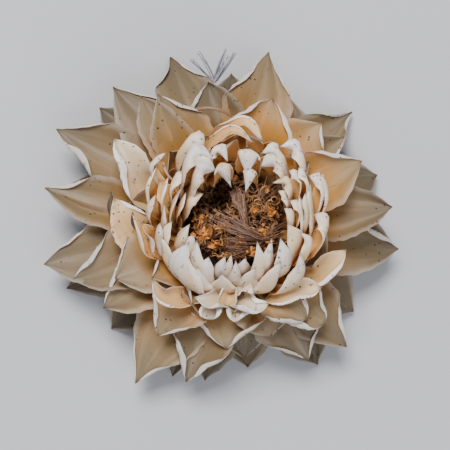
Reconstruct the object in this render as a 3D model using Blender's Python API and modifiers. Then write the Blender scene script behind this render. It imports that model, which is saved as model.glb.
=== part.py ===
"""Dried strawflower head, picked with a short stub of stem and lying face up.

The flower's axis is +Z. Every bract is a thin cupped blade on a curved midrib that runs from its root on the
woody receptacle, through a bend, to its tip. The tables below hold the bracts one by one, as read from the
flower: angles in degrees anticlockwise from +X, and lengths in millimetres.
"""

import math
import random

import bmesh
import bpy
from mathutils import Matrix, Vector, geometry

MM = 0.001
GAP = 0.3
BLADE_THICKNESS = 0.62
MERGE_DISTANCE = 1e-6
SLIVER = 1e-8

# The stem and its pad: radius and height of the turned outline, from the cut end up to the middle of the pad
STEM_RADIUS = 1.6
STEM_OUTLINE = [(0.0, 0.35), (STEM_RADIUS, 0.35), (1.45, 2.4), (2.3, 3.3), (6.4, 5.2), (6.8, 5.7), (6.6, 6.5),
                (4.6, 7.0), (0.0, 7.2)]
STEM_SIDES = 20

# The rings that carry the roots of the scales and bracts: sections of (radius, height)
SCALE_RING = [(2.15, 2.4), (6.4, 4.0), (6.5, 4.85), (2.9, 3.12), (2.15, 2.65)]
SPREADING_RING = [(7.12, 4.5), (8.3, 4.3), (8.5, 6.2), (8.1, 7.4), (7.12, 7.2)]
CROWN_RING = [(5.05, 7.25), (6.5, 6.9), (7.0, 8.6), (6.2, 9.2), (5.2, 9.0)]
RING_SIDES = 28
CUTTER_SIDES = 37

# The surfaces that part one set of organs from the next: radius and height, from the foot up
CROWN_SPACE = [(0.0, 6.8), (6.75, 6.8), (8.6, 9.5), (10.4, 12.0), (11.9, 14.5), (13.4, 17.0), (14.0, 21.0),
               (0.0, 21.0)]
DISC_SPACE = [(0.0, 7.3), (4.9, 7.3), (5.0, 9.0), (5.9, 10.6), (6.5, 12.5), (6.3, 14.6), (5.0, 15.0),
              (0.0, 15.0)]
UNDERSIDE_SPACE = [(0.0, 1.0), (16.0, 1.0), (16.0, 1.6), (9.6, 4.1), (6.95, 4.25), (6.95, 5.6), (0.0, 5.6)]

# Spreading bracts: angle, reach and height of the tip, half width, sideways bend of the middle
# The flower rests on the three tips of height 0, which lie well apart
LOWEST_BRACTS = [
    (136, 24.6, 0.9, 3.5, 0.0), (108, 25.2, 0.0, 3.9, 0.3), (89, 22.2, 1.4, 3.3, 0.0),
    (45, 24.4, 0.9, 3.4, 0.4), (22, 22.2, 1.1, 3.4, 0.0), (356, 23.2, 0.0, 3.7, 0.0),
    (304, 21.4, 0.9, 3.9, 0.0), (278, 18.4, 1.2, 3.6, 0.0), (261, 20.2, 0.9, 3.3, 0.0),
    (249, 20.8, 1.1, 3.4, 0.0), (200, 23.0, 0.9, 3.7, 0.0), (163, 22.0, 1.2, 3.7, 0.0),
    (220, 20.4, 0.0, 3.8, 0.0), (328, 20.0, 1.0, 3.8, 0.0), (66, 21.0, 1.1, 3.8, 0.0),
]
MAIN_BRACTS = [
    (151, 26.6, 5.0, 4.1, 0.0), (130.5, 24.4, 6.0, 3.8, 0.0), (78, 24.8, 5.0, 4.2, 0.0),
    (7, 21.2, 6.0, 3.8, 0.0), (354, 22.8, 5.0, 3.9, -0.4), (314, 21.9, 5.0, 4.3, 0.0),
    (300, 20.2, 5.0, 4.1, 0.0), (254, 21.2, 5.0, 4.1, 0.4), (239, 24.0, 4.5, 4.1, 0.0),
    (200, 22.0, 6.0, 3.8, 0.0), (192, 25.0, 4.5, 3.9, 0.4), (169, 25.0, 5.0, 4.1, 0.0),
    (276, 18.6, 5.0, 3.8, 0.0), (104, 18.6, 6.5, 3.8, 0.0), (36, 19.0, 6.0, 3.8, 0.0),
]
UPPER_BRACTS = [
    (121, 19.4, 10.0, 3.8, 0.0), (73, 16.8, 11.0, 4.2, 0.0), (49, 17.6, 10.0, 3.9, 0.0),
    (39, 19.0, 9.0, 3.2, 0.0), (26, 18.4, 9.0, 3.8, 0.0), (344, 15.2, 10.2, 3.2, 0.3),
    (322, 14.4, 11.0, 3.3, -0.5), (312, 17.8, 8.0, 3.6, 0.0), (307, 16.3, 9.5, 3.5, 0.0),
    (267, 16.4, 8.5, 3.6, 0.0), (237, 17.7, 9.0, 3.7, 0.0), (214, 20.0, 8.0, 3.7, 0.0),
    (207, 17.0, 10.0, 3.6, 0.0), (187, 15.7, 10.0, 3.4, 0.0), (169, 15.6, 10.0, 3.4, 0.0),
    (145, 18.5, 10.0, 3.7, 0.0), (288, 16.0, 9.5, 3.4, 0.0), (4, 16.0, 10.5, 3.4, 0.0),
]
STEEP_BRACTS = [
    (217, 13.2, 14.2, 2.6, 0.4), (244, 12.4, 14.0, 2.8, 0.0), (268, 12.2, 13.6, 2.8, 0.0),
    (287, 12.6, 13.8, 2.8, -0.3), (94, 12.8, 13.8, 3.0, 0.0), (118, 13.6, 13.2, 2.8, 0.0),
    (156, 14.0, 12.6, 2.8, 0.0), (179, 13.8, 12.8, 2.8, 0.0), (197, 13.9, 12.6, 2.8, 0.0),
    (335, 13.0, 12.6, 2.8, 0.0), (14, 13.6, 12.8, 2.9, 0.0), (33, 13.8, 12.6, 2.8, 0.0),
    (60, 13.2, 13.2, 2.8, 0.0), (308, 12.8, 12.8, 2.8, 0.0), (137, 13.6, 13.0, 2.8, 0.0),
    (77, 13.4, 12.8, 2.8, 0.0),
]

# The outline of every bract: a swelling foot and a pointed tip, scaled so that its widest place is 1
OUTLINE_SCALE = 2.05
OUTLINE_START = 0.16
OUTLINE_SWELL = 0.62
OUTLINE_TAPER = 0.70

# How far the margins of a blade rise above its midrib, as a share of its half width
SPREADING_CUP = 0.18
CROWN_CUP = 0.22
SCALE_CUP = 0.20

# How each spreading row leaves the pad: root radius, root height, rise there in degrees, arch of the middle,
# and into how many steps its midribs are split
SPREADING_ROWS = [
    (LOWEST_BRACTS, 7.7, 5.1, -6.0, 0.9, 4),
    (MAIN_BRACTS, 7.6, 5.9, 4.0, 0.7, 4),
    (UPPER_BRACTS, 7.6, 6.7, 24.0, 0.9, 4),
    (STEEP_BRACTS, 7.7, 7.0, 42.0, -0.2, 3),
]

# Crown bracts: angle, radius and height of the crest, then of the tip, then half width
CROWN_BRACTS = [
    (121, 11.2, 18.4, 123, 9.4, 17.2, 2.0), (109, 8.8, 18.0, 101, 6.4, 17.0, 1.7),
    (94, 10.4, 17.6, 90, 8.5, 18.0, 2.2), (83, 7.8, 18.4, 74, 2.9, 15.9, 1.8),
    (110, 6.8, 17.4, 107, 3.5, 15.6, 1.5), (60, 8.8, 18.4, 69, 7.6, 17.6, 1.8),
    (53, 8.0, 17.5, 66, 6.2, 16.5, 1.6), (32, 7.6, 17.0, 40, 5.7, 15.7, 1.4),
    (16, 7.2, 16.2, 29, 5.9, 15.6, 1.3), (45, 11.0, 18.0, 59, 10.0, 18.0, 1.9),
    (26, 9.2, 17.8, 37, 8.2, 17.2, 1.5), (20, 11.2, 17.8, 27, 10.5, 17.7, 1.8),
    (356, 11.2, 17.4, 358, 9.4, 17.5, 1.9), (10, 9.4, 17.8, 17, 8.5, 17.7, 1.5),
    (340, 9.8, 17.0, 343, 8.2, 16.6, 1.6), (0, 7.5, 16.2, 7, 6.2, 15.7, 1.3),
    (330, 8.4, 16.2, 327, 6.2, 16.6, 1.5), (309, 8.6, 15.8, 320, 5.6, 16.4, 1.7),
    (294, 8.4, 15.4, 301, 4.9, 15.9, 1.4), (282, 9.4, 15.4, 286, 7.3, 16.0, 1.4),
    (268, 8.6, 15.4, 267, 6.3, 16.0, 1.4), (257, 9.9, 15.6, 255, 8.1, 16.4, 1.5),
    (241, 10.4, 15.6, 234, 8.4, 16.6, 1.8), (246, 8.0, 14.8, 237, 6.8, 15.8, 1.3),
    (222, 10.8, 15.8, 213, 7.6, 17.0, 2.4), (207, 8.6, 15.6, 194, 6.6, 15.8, 1.5),
    (197, 11.3, 16.6, 190, 10.2, 17.4, 1.8), (180, 11.4, 17.4, 171, 10.6, 17.7, 1.7),
    (163, 11.7, 17.6, 152, 11.6, 17.7, 1.9), (149, 11.6, 17.9, 143, 11.2, 18.1, 1.8),
    (141, 9.4, 18.4, 120, 7.4, 17.5, 1.9), (150, 7.6, 17.4, 119, 5.9, 16.4, 1.8),
    (175, 9.2, 17.9, 163, 9.2, 18.2, 1.5), (181, 7.5, 16.4, 155, 5.8, 15.9, 1.4),
]
CROWN_ROOT_RADIUS = 6.0
CROWN_ROOT_HEIGHT = 8.2
CROWN_ROOT_RISE = 52.0

# Short bracts that line the inside of the crown
LINING_COUNT = 11
LINING_PHASE = 0.20
LINING_ROOT_RADIUS = 5.7
LINING_RADIUS = 7.8
LINING_HEIGHT = 13.6
LINING_HALF_WIDTH = 1.9

# Small brown scales under the pad
SCALE_ROWS = [(11, 5.4, 4.0, 9.0, 2.9, 1.9), (9, 3.7, 3.3, 6.9, 2.1, 1.6)]

# The disc: a low core with a hollow in it, and the tubular florets that stand out of it
DISC_RADIUS = 4.7
CORE_TOP = 10.2
CORE_FOOT = 7.45
HOLLOW_CENTRE = (-2.5, 2.9)
HOLLOW_RADIUS = 2.3
HOLLOW_HEIGHT = 11.1
HOLLOW_STRETCH = 1.25
FLORET_COUNT = 76
FLORET_SIDES = 5
FLORET_FOOT_RADIUS = 0.34
FLORET_MOUTH_RADIUS = 0.52
FLORET_FOOT = 8.35
FLORET_TOP = 12.6
FLORET_DROP = 0.6
FLORET_SPLAY = 1.2
GOLDEN_ANGLE = 137.508

# The pappus: one achene with the brush of bristles that sweeps from it across the disc
PAPPUS_ROOT = (3.6, -3.0)
PAPPUS_FOOT = 10.55
ACHENE_TOP = 13.3
BRISTLE_HEIGHT = 12.95
BRISTLE_SPREAD = 1.1
BRISTLE_STAGGER = 0.12
PAPPUS_BRISTLES = 13
PAPPUS_SWEEP = (100.0, 166.0)
PAPPUS_LENGTHS = (6.4, 8.6)
PAPPUS_RISE = 1.3
BRISTLE_RADIUS = 0.3
ACHENE_RADIUS = 0.75
ACHENE_FOOT_RADIUS = 0.45


def clear_scene():
    """Start from an empty scene."""
    for item in list(bpy.data.objects):
        bpy.data.objects.remove(item, do_unlink=True)


def make_collection(name):
    """A collection linked to the scene."""
    collection = bpy.data.collections.new(name)
    bpy.context.scene.collection.children.link(collection)
    return collection


def make_material(name, colour, roughness):
    """A plain Principled material."""
    material = bpy.data.materials.new(name)
    material.use_nodes = True
    shader = material.node_tree.nodes["Principled BSDF"]
    shader.inputs["Base Color"].default_value = (*colour, 1.0)
    shader.inputs["Roughness"].default_value = roughness
    shader.inputs["Metallic"].default_value = 0.0
    return material


def polar(angle, radius, height):
    """A point in metres from an angle in degrees and two lengths in millimetres."""
    turn = math.radians(angle)
    return Vector((radius * math.cos(turn), radius * math.sin(turn), height)) * MM


def object_from_bmesh(name, shape, collection):
    """An object that holds the finished bmesh."""
    mesh = bpy.data.meshes.new(name)
    shape.to_mesh(mesh)
    shape.free()
    item = bpy.data.objects.new(name, mesh)
    collection.objects.link(item)
    return item


def apply_modifiers(item):
    """Replace an object's mesh with the mesh that its modifiers give."""
    graph = bpy.context.evaluated_depsgraph_get()
    mesh = bpy.data.meshes.new_from_object(item.evaluated_get(graph))
    item.modifiers.clear()
    item.data = mesh


def turned(name, outline, segments, collection, grow=0.0):
    """A solid of revolution about +Z from an outline of (radius, height), grown outwards where asked."""
    points = [Vector((radius, 0.0, height)) for radius, height in outline]
    if grow:
        points = [grown_point(points, place, grow) for place in range(len(points))]
    shape = bmesh.new()
    rings = []
    for point in points:
        if point.x < 1e-6:
            rings.append([shape.verts.new(Vector((0.0, 0.0, point.z)) * MM)])
        else:
            rings.append([shape.verts.new(polar(360.0 * side / segments, point.x, point.z))
                          for side in range(segments)])
    for lower, upper in zip(rings, rings[1:]):
        for side in range(segments):
            after = (side + 1) % segments
            corners = [lower[side % len(lower)], lower[after % len(lower)], upper[after % len(upper)],
                       upper[side % len(upper)]]
            shape.faces.new(list(dict.fromkeys(corners)))
    bmesh.ops.recalc_face_normals(shape, faces=shape.faces)
    return object_from_bmesh(name, shape, collection)


def grown_point(points, place, grow):
    """One point of an outline moved away from the solid by a given distance, and never across the axis."""
    before = points[max(place - 1, 0)]
    after = points[min(place + 1, len(points) - 1)]
    along = (after - before).normalized()
    away = Vector((along.z, 0.0, -along.x))
    moved = points[place] + away * grow
    if points[place].x < 1e-6:
        moved = Vector((0.0, 0.0, points[place].z + (grow if place else -grow)))
    return moved


def midrib_points(root, rise, bend, tip, segments):
    """Points on a smooth curve that leaves the root at a given rise, passes the bend and ends at the tip."""
    outward = Vector((bend.x, bend.y, 0.0)).normalized()
    leave = outward * math.cos(math.radians(rise)) + Vector((0.0, 0.0, math.sin(math.radians(rise))))
    first = (bend - root).length
    last = (tip - bend).length
    through = ((bend - root) / first * last + (tip - bend) / last * first).normalized()
    split = min(max(1, round(segments * first / (first + last))), segments - 1)
    lower = geometry.interpolate_bezier(root, root + leave * first / 3, bend - through * first / 3, bend,
                                        split + 1)
    upper = geometry.interpolate_bezier(bend, bend + through * last / 3, tip - (tip - bend) / 3, tip,
                                        segments - split + 1)
    return lower + upper[1:]


def blade_width(share):
    """Half width of a bract at a share of its midrib from the root to the tip, as a share of the widest."""
    return OUTLINE_SCALE * (share + OUTLINE_START) ** OUTLINE_SWELL * (1.0 - share) ** OUTLINE_TAPER


def blade(name, root, rise, bend, tip, half_width, cup, collection, segments=4):
    """One bract: a cupped, pointed sheet on its midrib, thickened evenly on both faces."""
    midrib = midrib_points(root, rise, bend, tip, segments)
    segments = len(midrib) - 1
    facing = Vector((bend.x, bend.y, 0.0)).normalized()
    across_root = Vector((-facing.y, facing.x, 0.0))
    shape = bmesh.new()
    bmesh.ops.create_grid(shape, x_segments=2, y_segments=segments, size=1.0)
    for vertex in shape.verts:
        station = round((vertex.co.y + 1.0) / 2.0 * segments)
        side = round(vertex.co.x)
        along = (midrib[min(station + 1, segments)] - midrib[max(station - 1, 0)]).normalized()
        across = (across_root - along * across_root.dot(along)).normalized()
        inner_face = along.cross(across)
        width = blade_width(station / segments) * half_width * MM
        vertex.co = midrib[station] + across * side * width + inner_face * cup * width * side * side
    bmesh.ops.remove_doubles(shape, verts=shape.verts, dist=MERGE_DISTANCE)
    bmesh.ops.triangulate(shape, faces=shape.faces)
    item = object_from_bmesh(name, shape, collection)
    solid = item.modifiers.new("thickness", "SOLIDIFY")
    solid.thickness = BLADE_THICKNESS * MM
    solid.offset = 0.0
    apply_modifiers(item)
    return item


def join_with_union(base, collection):
    """Join every object of a collection to the base in one union, and remove the collection."""
    union = base.modifiers.new("union", "BOOLEAN")
    union.operation = "UNION"
    union.operand_type = "COLLECTION"
    union.collection = collection
    union.solver = "EXACT"
    apply_modifiers(base)
    for item in list(collection.objects):
        bpy.data.objects.remove(item, do_unlink=True)
    bpy.data.collections.remove(collection)


def cut(item, cutter, operation):
    """Cut an object with a solid of revolution, which is removed again."""
    boolean = item.modifiers.new("cut", "BOOLEAN")
    boolean.operation = operation
    boolean.object = cutter
    boolean.solver = "EXACT"
    apply_modifiers(item)
    bpy.data.objects.remove(cutter, do_unlink=True)


def keep_one_body(item):
    """Keep the largest closed body of a mesh: loose scraps go, and sealed hollows are filled."""
    shape = bmesh.new()
    shape.from_mesh(item.data)
    bmesh.ops.remove_doubles(shape, verts=shape.verts, dist=SLIVER)
    bmesh.ops.dissolve_degenerate(shape, edges=shape.edges, dist=SLIVER)
    bmesh.ops.triangulate(shape, faces=shape.faces)
    waiting = set(shape.faces)
    bodies = []
    while waiting:
        body = {waiting.pop()}
        border = list(body)
        while border:
            face = border.pop()
            for edge in face.edges:
                for neighbour in edge.link_faces:
                    if neighbour in waiting:
                        waiting.remove(neighbour)
                        body.add(neighbour)
                        border.append(neighbour)
        bodies.append(body)
    largest = max(bodies, key=len)
    dropped = [face for body in bodies if body is not largest for face in body]
    bmesh.ops.delete(shape, geom=dropped, context="FACES")
    shape.to_mesh(item.data)
    shape.free()


def finish(item, material, collection):
    """Give a piece its material, shade it smooth and put it in the flower's collection."""
    item.data.materials.clear()
    item.data.materials.append(material)
    item.data.shade_smooth()
    item.data.set_sharp_from_angle(angle=math.radians(40.0))
    for holder in list(item.users_collection):
        holder.objects.unlink(item)
    collection.objects.link(item)


def make_stem(collection):
    """The cut stub of stem with the woody pad that it widens into."""
    item = turned("stem", STEM_OUTLINE, STEM_SIDES, collection)
    finish(item, make_material("dry_stem", (0.16, 0.12, 0.06), 0.8), collection)


def make_base_scales(collection):
    """The small brown scales that cover the underside of the pad."""
    loop = turned_ring("base_scales", SCALE_RING, STEM_SIDES, collection)
    blades = make_collection("base_scale_blades")
    for row, (count, root_radius, root_height, tip_radius, tip_height, half_width) in enumerate(SCALE_ROWS):
        for place in range(count):
            angle = 360.0 * (place + 0.5 * row) / count
            bend = polar(angle, (root_radius + tip_radius) / 2, (root_height + tip_height) / 2 - 0.1)
            blade(f"scale_{row}_{place}", polar(angle, root_radius, root_height - GAP), -10.0,
                  bend, polar(angle, tip_radius, tip_height), half_width, SCALE_CUP, blades, segments=3)
    join_with_union(loop, blades)
    cut(loop, turned("under_cutter", UNDERSIDE_SPACE, CUTTER_SIDES, collection), "INTERSECT")
    cut(loop, turned("stem_cutter", STEM_OUTLINE, CUTTER_SIDES, collection, grow=GAP), "DIFFERENCE")
    keep_one_body(loop)
    finish(loop, make_material("brown_scale", (0.20, 0.12, 0.05), 0.7), collection)


def turned_ring(name, outline, segments, collection):
    """A closed ring about +Z whose section is the outline."""
    shape = bmesh.new()
    rings = [[shape.verts.new(polar(360.0 * side / segments, radius, height)) for side in range(segments)]
             for radius, height in outline]
    for place, lower in enumerate(rings):
        upper = rings[(place + 1) % len(rings)]
        for side in range(segments):
            after = (side + 1) % segments
            shape.faces.new((lower[side], lower[after], upper[after], upper[side]))
    bmesh.ops.recalc_face_normals(shape, faces=shape.faces)
    return object_from_bmesh(name, shape, collection)


def spreading_bend(angle, root_radius, root_height, reach, tip_height, arch, sway):
    """Where the middle of a spreading bract lies: between root and tip, raised by the row's arch."""
    radius = root_radius + 0.55 * (reach - root_radius)
    height = root_height + 0.5 * (tip_height - root_height) + arch
    return polar(angle + math.degrees(sway / radius), radius, height)


def make_spreading_bracts(collection):
    """The big cream bracts of the outer star, fused at their roots to one ring round the pad."""
    base = turned_ring("spreading_bracts", SPREADING_RING, RING_SIDES, collection)
    blades = make_collection("spreading_blades")
    for row, (bracts, root_radius, root_height, rise, arch, steps) in enumerate(SPREADING_ROWS):
        for place, (angle, reach, tip_height, half_width, sway) in enumerate(bracts):
            tip_height = max(tip_height, BLADE_THICKNESS / 2)
            bend = spreading_bend(angle, root_radius, root_height, reach, tip_height, arch, sway)
            blade(f"spreading_{row}_{place}", polar(angle, root_radius, root_height), rise, bend,
                  polar(angle, reach, tip_height), half_width, SPREADING_CUP, blades, segments=steps)
    join_with_union(base, blades)
    cut(base, turned("crown_cutter", CROWN_SPACE, CUTTER_SIDES, collection, grow=GAP), "DIFFERENCE")
    cut(base, turned("under_cutter", UNDERSIDE_SPACE, CUTTER_SIDES, collection, grow=GAP), "DIFFERENCE")
    cut(base, turned("stem_cutter", STEM_OUTLINE, CUTTER_SIDES, collection, grow=GAP), "DIFFERENCE")
    keep_one_body(base)
    finish(base, make_material("cream_bract", (0.62, 0.47, 0.29), 0.55), collection)


def make_inner_bracts(collection):
    """The white incurved bracts of the crown, fused at their roots to one ring on the rim of the pad."""
    base = turned_ring("inner_bracts", CROWN_RING, RING_SIDES, collection)
    blades = make_collection("crown_blades")
    for place, (angle, radius, height, tip_angle, tip_radius, tip_height, width) in enumerate(CROWN_BRACTS):
        root = polar(angle, CROWN_ROOT_RADIUS, CROWN_ROOT_HEIGHT)
        crest = polar(angle, radius, height)
        tip = polar(tip_angle, tip_radius, tip_height)
        blade(f"crown_{place}", root, CROWN_ROOT_RISE, crest, tip, width, CROWN_CUP, blades)
    for place in range(LINING_COUNT):
        angle = 360.0 * (place + LINING_PHASE) / LINING_COUNT
        middle = polar(angle, LINING_RADIUS, (CROWN_ROOT_HEIGHT + LINING_HEIGHT) / 2 + 0.5)
        blade(f"lining_{place}", polar(angle, LINING_ROOT_RADIUS, CROWN_ROOT_HEIGHT), CROWN_ROOT_RISE,
              middle, polar(angle, LINING_RADIUS, LINING_HEIGHT), LINING_HALF_WIDTH, CROWN_CUP, blades)
    join_with_union(base, blades)
    cut(base, turned("crown_cutter", CROWN_SPACE, CUTTER_SIDES, collection), "INTERSECT")
    cut(base, turned("disc_cutter", DISC_SPACE, CUTTER_SIDES, collection, grow=GAP), "DIFFERENCE")
    keep_one_body(base)
    finish(base, make_material("white_bract", (0.70, 0.66, 0.60), 0.5), collection)


def distance_on_disc(point, place):
    """How far a point lies from a place on the disc, seen from above, in millimetres."""
    return math.hypot(point.x / MM - place[0], point.y / MM - place[1])


def make_disc_florets(collection):
    """The dried tubular florets, standing out of a low core with a hollow in it."""
    rng = random.Random(7)
    shape = bmesh.new()
    bmesh.ops.create_cone(shape, cap_ends=True, segments=STEM_SIDES, radius1=DISC_RADIUS * MM,
                          radius2=DISC_RADIUS * MM, depth=(CORE_TOP - CORE_FOOT) * MM,
                          matrix=Matrix.Translation((0.0, 0.0, (CORE_TOP + CORE_FOOT) / 2 * MM)))
    core = object_from_bmesh("disc_florets", shape, collection)
    florets = make_collection("florets")
    for place in range(FLORET_COUNT):
        radius = DISC_RADIUS * 0.97 * math.sqrt((place + 0.5) / FLORET_COUNT)
        angle = GOLDEN_ANGLE * place
        foot = polar(angle, radius, FLORET_FOOT)
        top = FLORET_TOP - FLORET_DROP * (radius / DISC_RADIUS) ** 2 + rng.uniform(-0.5, 0.3)
        if distance_on_disc(foot, HOLLOW_CENTRE) < HOLLOW_RADIUS - FLORET_FOOT_RADIUS / 2:
            continue
        if distance_on_disc(foot, PAPPUS_ROOT) < ACHENE_RADIUS + GAP + FLORET_MOUTH_RADIUS:
            continue
        mouth = polar(angle + rng.uniform(-6.0, 6.0), radius * FLORET_SPLAY + rng.uniform(-0.1, 0.2), top)
        floret(f"floret_{place}", foot, mouth, florets)
    join_with_union(core, florets)
    cut(core, hollow_cutter(collection), "DIFFERENCE")
    cut(core, achene_cutter(collection), "DIFFERENCE")
    keep_one_body(core)
    finish(core, make_material("disc_floret", (0.30, 0.13, 0.035), 0.7), collection)


def floret(name, foot, mouth, collection):
    """One tubular floret: a slim tube that flares to its mouth."""
    axis = mouth - foot
    shape = bmesh.new()
    bmesh.ops.create_cone(shape, cap_ends=True, segments=FLORET_SIDES, radius1=FLORET_FOOT_RADIUS * MM,
                          radius2=FLORET_MOUTH_RADIUS * MM, depth=axis.length)
    turn = Vector((0.0, 0.0, 1.0)).rotation_difference(axis).to_matrix().to_4x4()
    bmesh.ops.transform(shape, matrix=Matrix.Translation((foot + mouth) / 2) @ turn, verts=shape.verts)
    return object_from_bmesh(name, shape, collection)


def hollow_cutter(collection):
    """A ball that scoops the dark hollow out of the florets and the core."""
    centre = Vector((HOLLOW_CENTRE[0], HOLLOW_CENTRE[1], HOLLOW_HEIGHT)) * MM
    shape = bmesh.new()
    stretch = Matrix.Diagonal((1.0, 1.0, HOLLOW_STRETCH, 1.0))
    bmesh.ops.create_uvsphere(shape, u_segments=14, v_segments=8, radius=HOLLOW_RADIUS * MM,
                              matrix=Matrix.Translation(centre) @ stretch)
    return object_from_bmesh("hollow_cutter", shape, collection)


def achene_cutter(collection):
    """A round clearance in the florets for the foot of the pappus."""
    foot = PAPPUS_FOOT - GAP
    centre = Vector((PAPPUS_ROOT[0], PAPPUS_ROOT[1], (foot + FLORET_TOP + 2.0) / 2)) * MM
    shape = bmesh.new()
    bmesh.ops.create_cone(shape, cap_ends=True, segments=12, radius1=(ACHENE_RADIUS + GAP) * MM,
                          radius2=(ACHENE_RADIUS + GAP) * MM, depth=(FLORET_TOP + 2.0 - foot) * MM,
                          matrix=Matrix.Translation(centre))
    return object_from_bmesh("achene_cutter", shape, collection)


def make_pappus(collection):
    """The brown brush of bristles on its achene, sweeping across the disc."""
    rng = random.Random(11)
    shape = bmesh.new()
    root = Vector((PAPPUS_ROOT[0], PAPPUS_ROOT[1], 0.0)) * MM
    middle_height = Vector((0.0, 0.0, (ACHENE_TOP + PAPPUS_FOOT) / 2 * MM))
    bmesh.ops.create_cone(shape, cap_ends=True, segments=10, radius1=ACHENE_FOOT_RADIUS * MM,
                          radius2=ACHENE_RADIUS * MM, depth=(ACHENE_TOP - PAPPUS_FOOT) * MM,
                          matrix=Matrix.Translation(root + middle_height))
    base = object_from_bmesh("pappus", shape, collection)
    bristles = make_collection("bristles")
    for place in range(PAPPUS_BRISTLES):
        share = place / (PAPPUS_BRISTLES - 1)
        heading = PAPPUS_SWEEP[0] + share * (PAPPUS_SWEEP[1] - PAPPUS_SWEEP[0])
        length = PAPPUS_LENGTHS[0] + (PAPPUS_LENGTHS[1] - PAPPUS_LENGTHS[0]) * rng.random()
        start = root + Vector((0.0, 0.0, BRISTLE_HEIGHT * MM))
        start += polar(heading + 90.0, BRISTLE_SPREAD * (share - 0.5), BRISTLE_STAGGER * (place % 3))
        level = polar(heading, length, 0.0)
        middle = start + level * 0.5 + Vector((0.0, 0.0, 0.75 * PAPPUS_RISE * MM))
        end = start + level + Vector((0.0, 0.0, PAPPUS_RISE * MM))
        bristle(f"bristle_{place}", [start, middle, end], bristles)
    join_with_union(base, bristles)
    keep_one_body(base)
    finish(base, make_material("pappus_bristle", (0.20, 0.13, 0.10), 0.6), collection)


def bristle(name, points, collection):
    """One slim three-sided bristle through its points."""
    shape = bmesh.new()
    rings = []
    for place, point in enumerate(points):
        along = (points[min(place + 1, len(points) - 1)] - points[max(place - 1, 0)]).normalized()
        side = along.cross(Vector((0.0, 0.0, 1.0))).normalized()
        up = side.cross(along)
        size = BRISTLE_RADIUS * MM * (1.0 - 0.25 * place)
        rings.append([shape.verts.new(point + (side * math.cos(turn) + up * math.sin(turn)) * size)
                      for turn in (math.radians(90.0 + 120.0 * corner) for corner in range(3))])
    for lower, upper in zip(rings, rings[1:]):
        for corner in range(3):
            after = (corner + 1) % 3
            shape.faces.new((lower[corner], lower[after], upper[after], upper[corner]))
    shape.faces.new(rings[0])
    shape.faces.new(rings[-1])
    bmesh.ops.recalc_face_normals(shape, faces=shape.faces)
    return object_from_bmesh(name, shape, collection)


def stand_on_ground(collection):
    """Move the whole flower so that it stands on the ground with the middle of its box on the origin."""
    corners = [item.matrix_world @ vertex.co for item in collection.objects for vertex in item.data.vertices]
    low = Vector([min(corner[axis] for corner in corners) for axis in range(3)])
    high = Vector([max(corner[axis] for corner in corners) for axis in range(3)])
    shift = Vector(((low.x + high.x) / 2, (low.y + high.y) / 2, low.z))
    for item in collection.objects:
        item.location -= shift


def main():
    """Build the flower head."""
    clear_scene()
    flower = make_collection("dried_strawflower")
    make_stem(flower)
    make_base_scales(flower)
    make_spreading_bracts(flower)
    make_inner_bracts(flower)
    make_disc_florets(flower)
    make_pappus(flower)
    stand_on_ground(flower)


main()
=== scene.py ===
"""Looks of the dried strawflower head: thin papery bracts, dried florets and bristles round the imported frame.

Angles are in degrees anticlockwise from +X about the flower's axis, and lengths are in millimetres, unless a
name or a comment says otherwise. The flower's own axis and foot are read from the frame.
"""

import math
import random

import bmesh
import bpy
import numpy as np
from mathutils import Euler, Matrix, Vector, geometry, noise


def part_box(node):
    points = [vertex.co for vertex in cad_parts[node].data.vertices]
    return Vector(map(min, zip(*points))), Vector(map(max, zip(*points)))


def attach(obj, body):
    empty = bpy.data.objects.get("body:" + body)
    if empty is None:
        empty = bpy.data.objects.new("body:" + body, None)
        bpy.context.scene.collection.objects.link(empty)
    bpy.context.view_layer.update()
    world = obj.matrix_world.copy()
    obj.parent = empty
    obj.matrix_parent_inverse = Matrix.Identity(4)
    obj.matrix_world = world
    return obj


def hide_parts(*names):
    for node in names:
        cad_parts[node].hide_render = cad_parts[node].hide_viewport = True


# A millimetre in metres, and the height of the stem's cut end above the flower's foot
MM = 0.001
STEM_FOOT = 0.35

# Camera: where it looks, how it leans off the axis, its distance, its lens and sensor, and its near limit
LOOK_AT = (-1.03, -0.25, 8.0)
CAMERA_LEAN = (-0.08, -0.18, 1.0)
CAMERA_DISTANCE = 162.5
CAMERA_LENS = 100.0
CAMERA_SENSOR = 36.0
CAMERA_NEAR = 10.0

# Lights, each with its place and size in metres, its power in watts and its colour, and the point they face
LIGHTS = [
    ("sky_panel", (-0.14, 0.28, 0.60), 0.30, 10.2, (1.0, 0.99, 0.98)),
    ("front_fill", (0.15, -0.45, 0.50), 0.5, 4.4, (0.96, 0.97, 1.0)),
]
LIGHT_AIM = (0.0, 0.0, 0.01)
SURROUND_COLOUR = (0.82, 0.88, 1.0)
SURROUND_STRENGTH = 0.45

# The pale floor, with its size in metres
FLOOR_SIZE = 3.0
FLOOR_COLOURS = ((0.31, 0.31, 0.32), (0.33, 0.33, 0.34))
FLOOR_ROUGHNESS = 0.9

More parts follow.
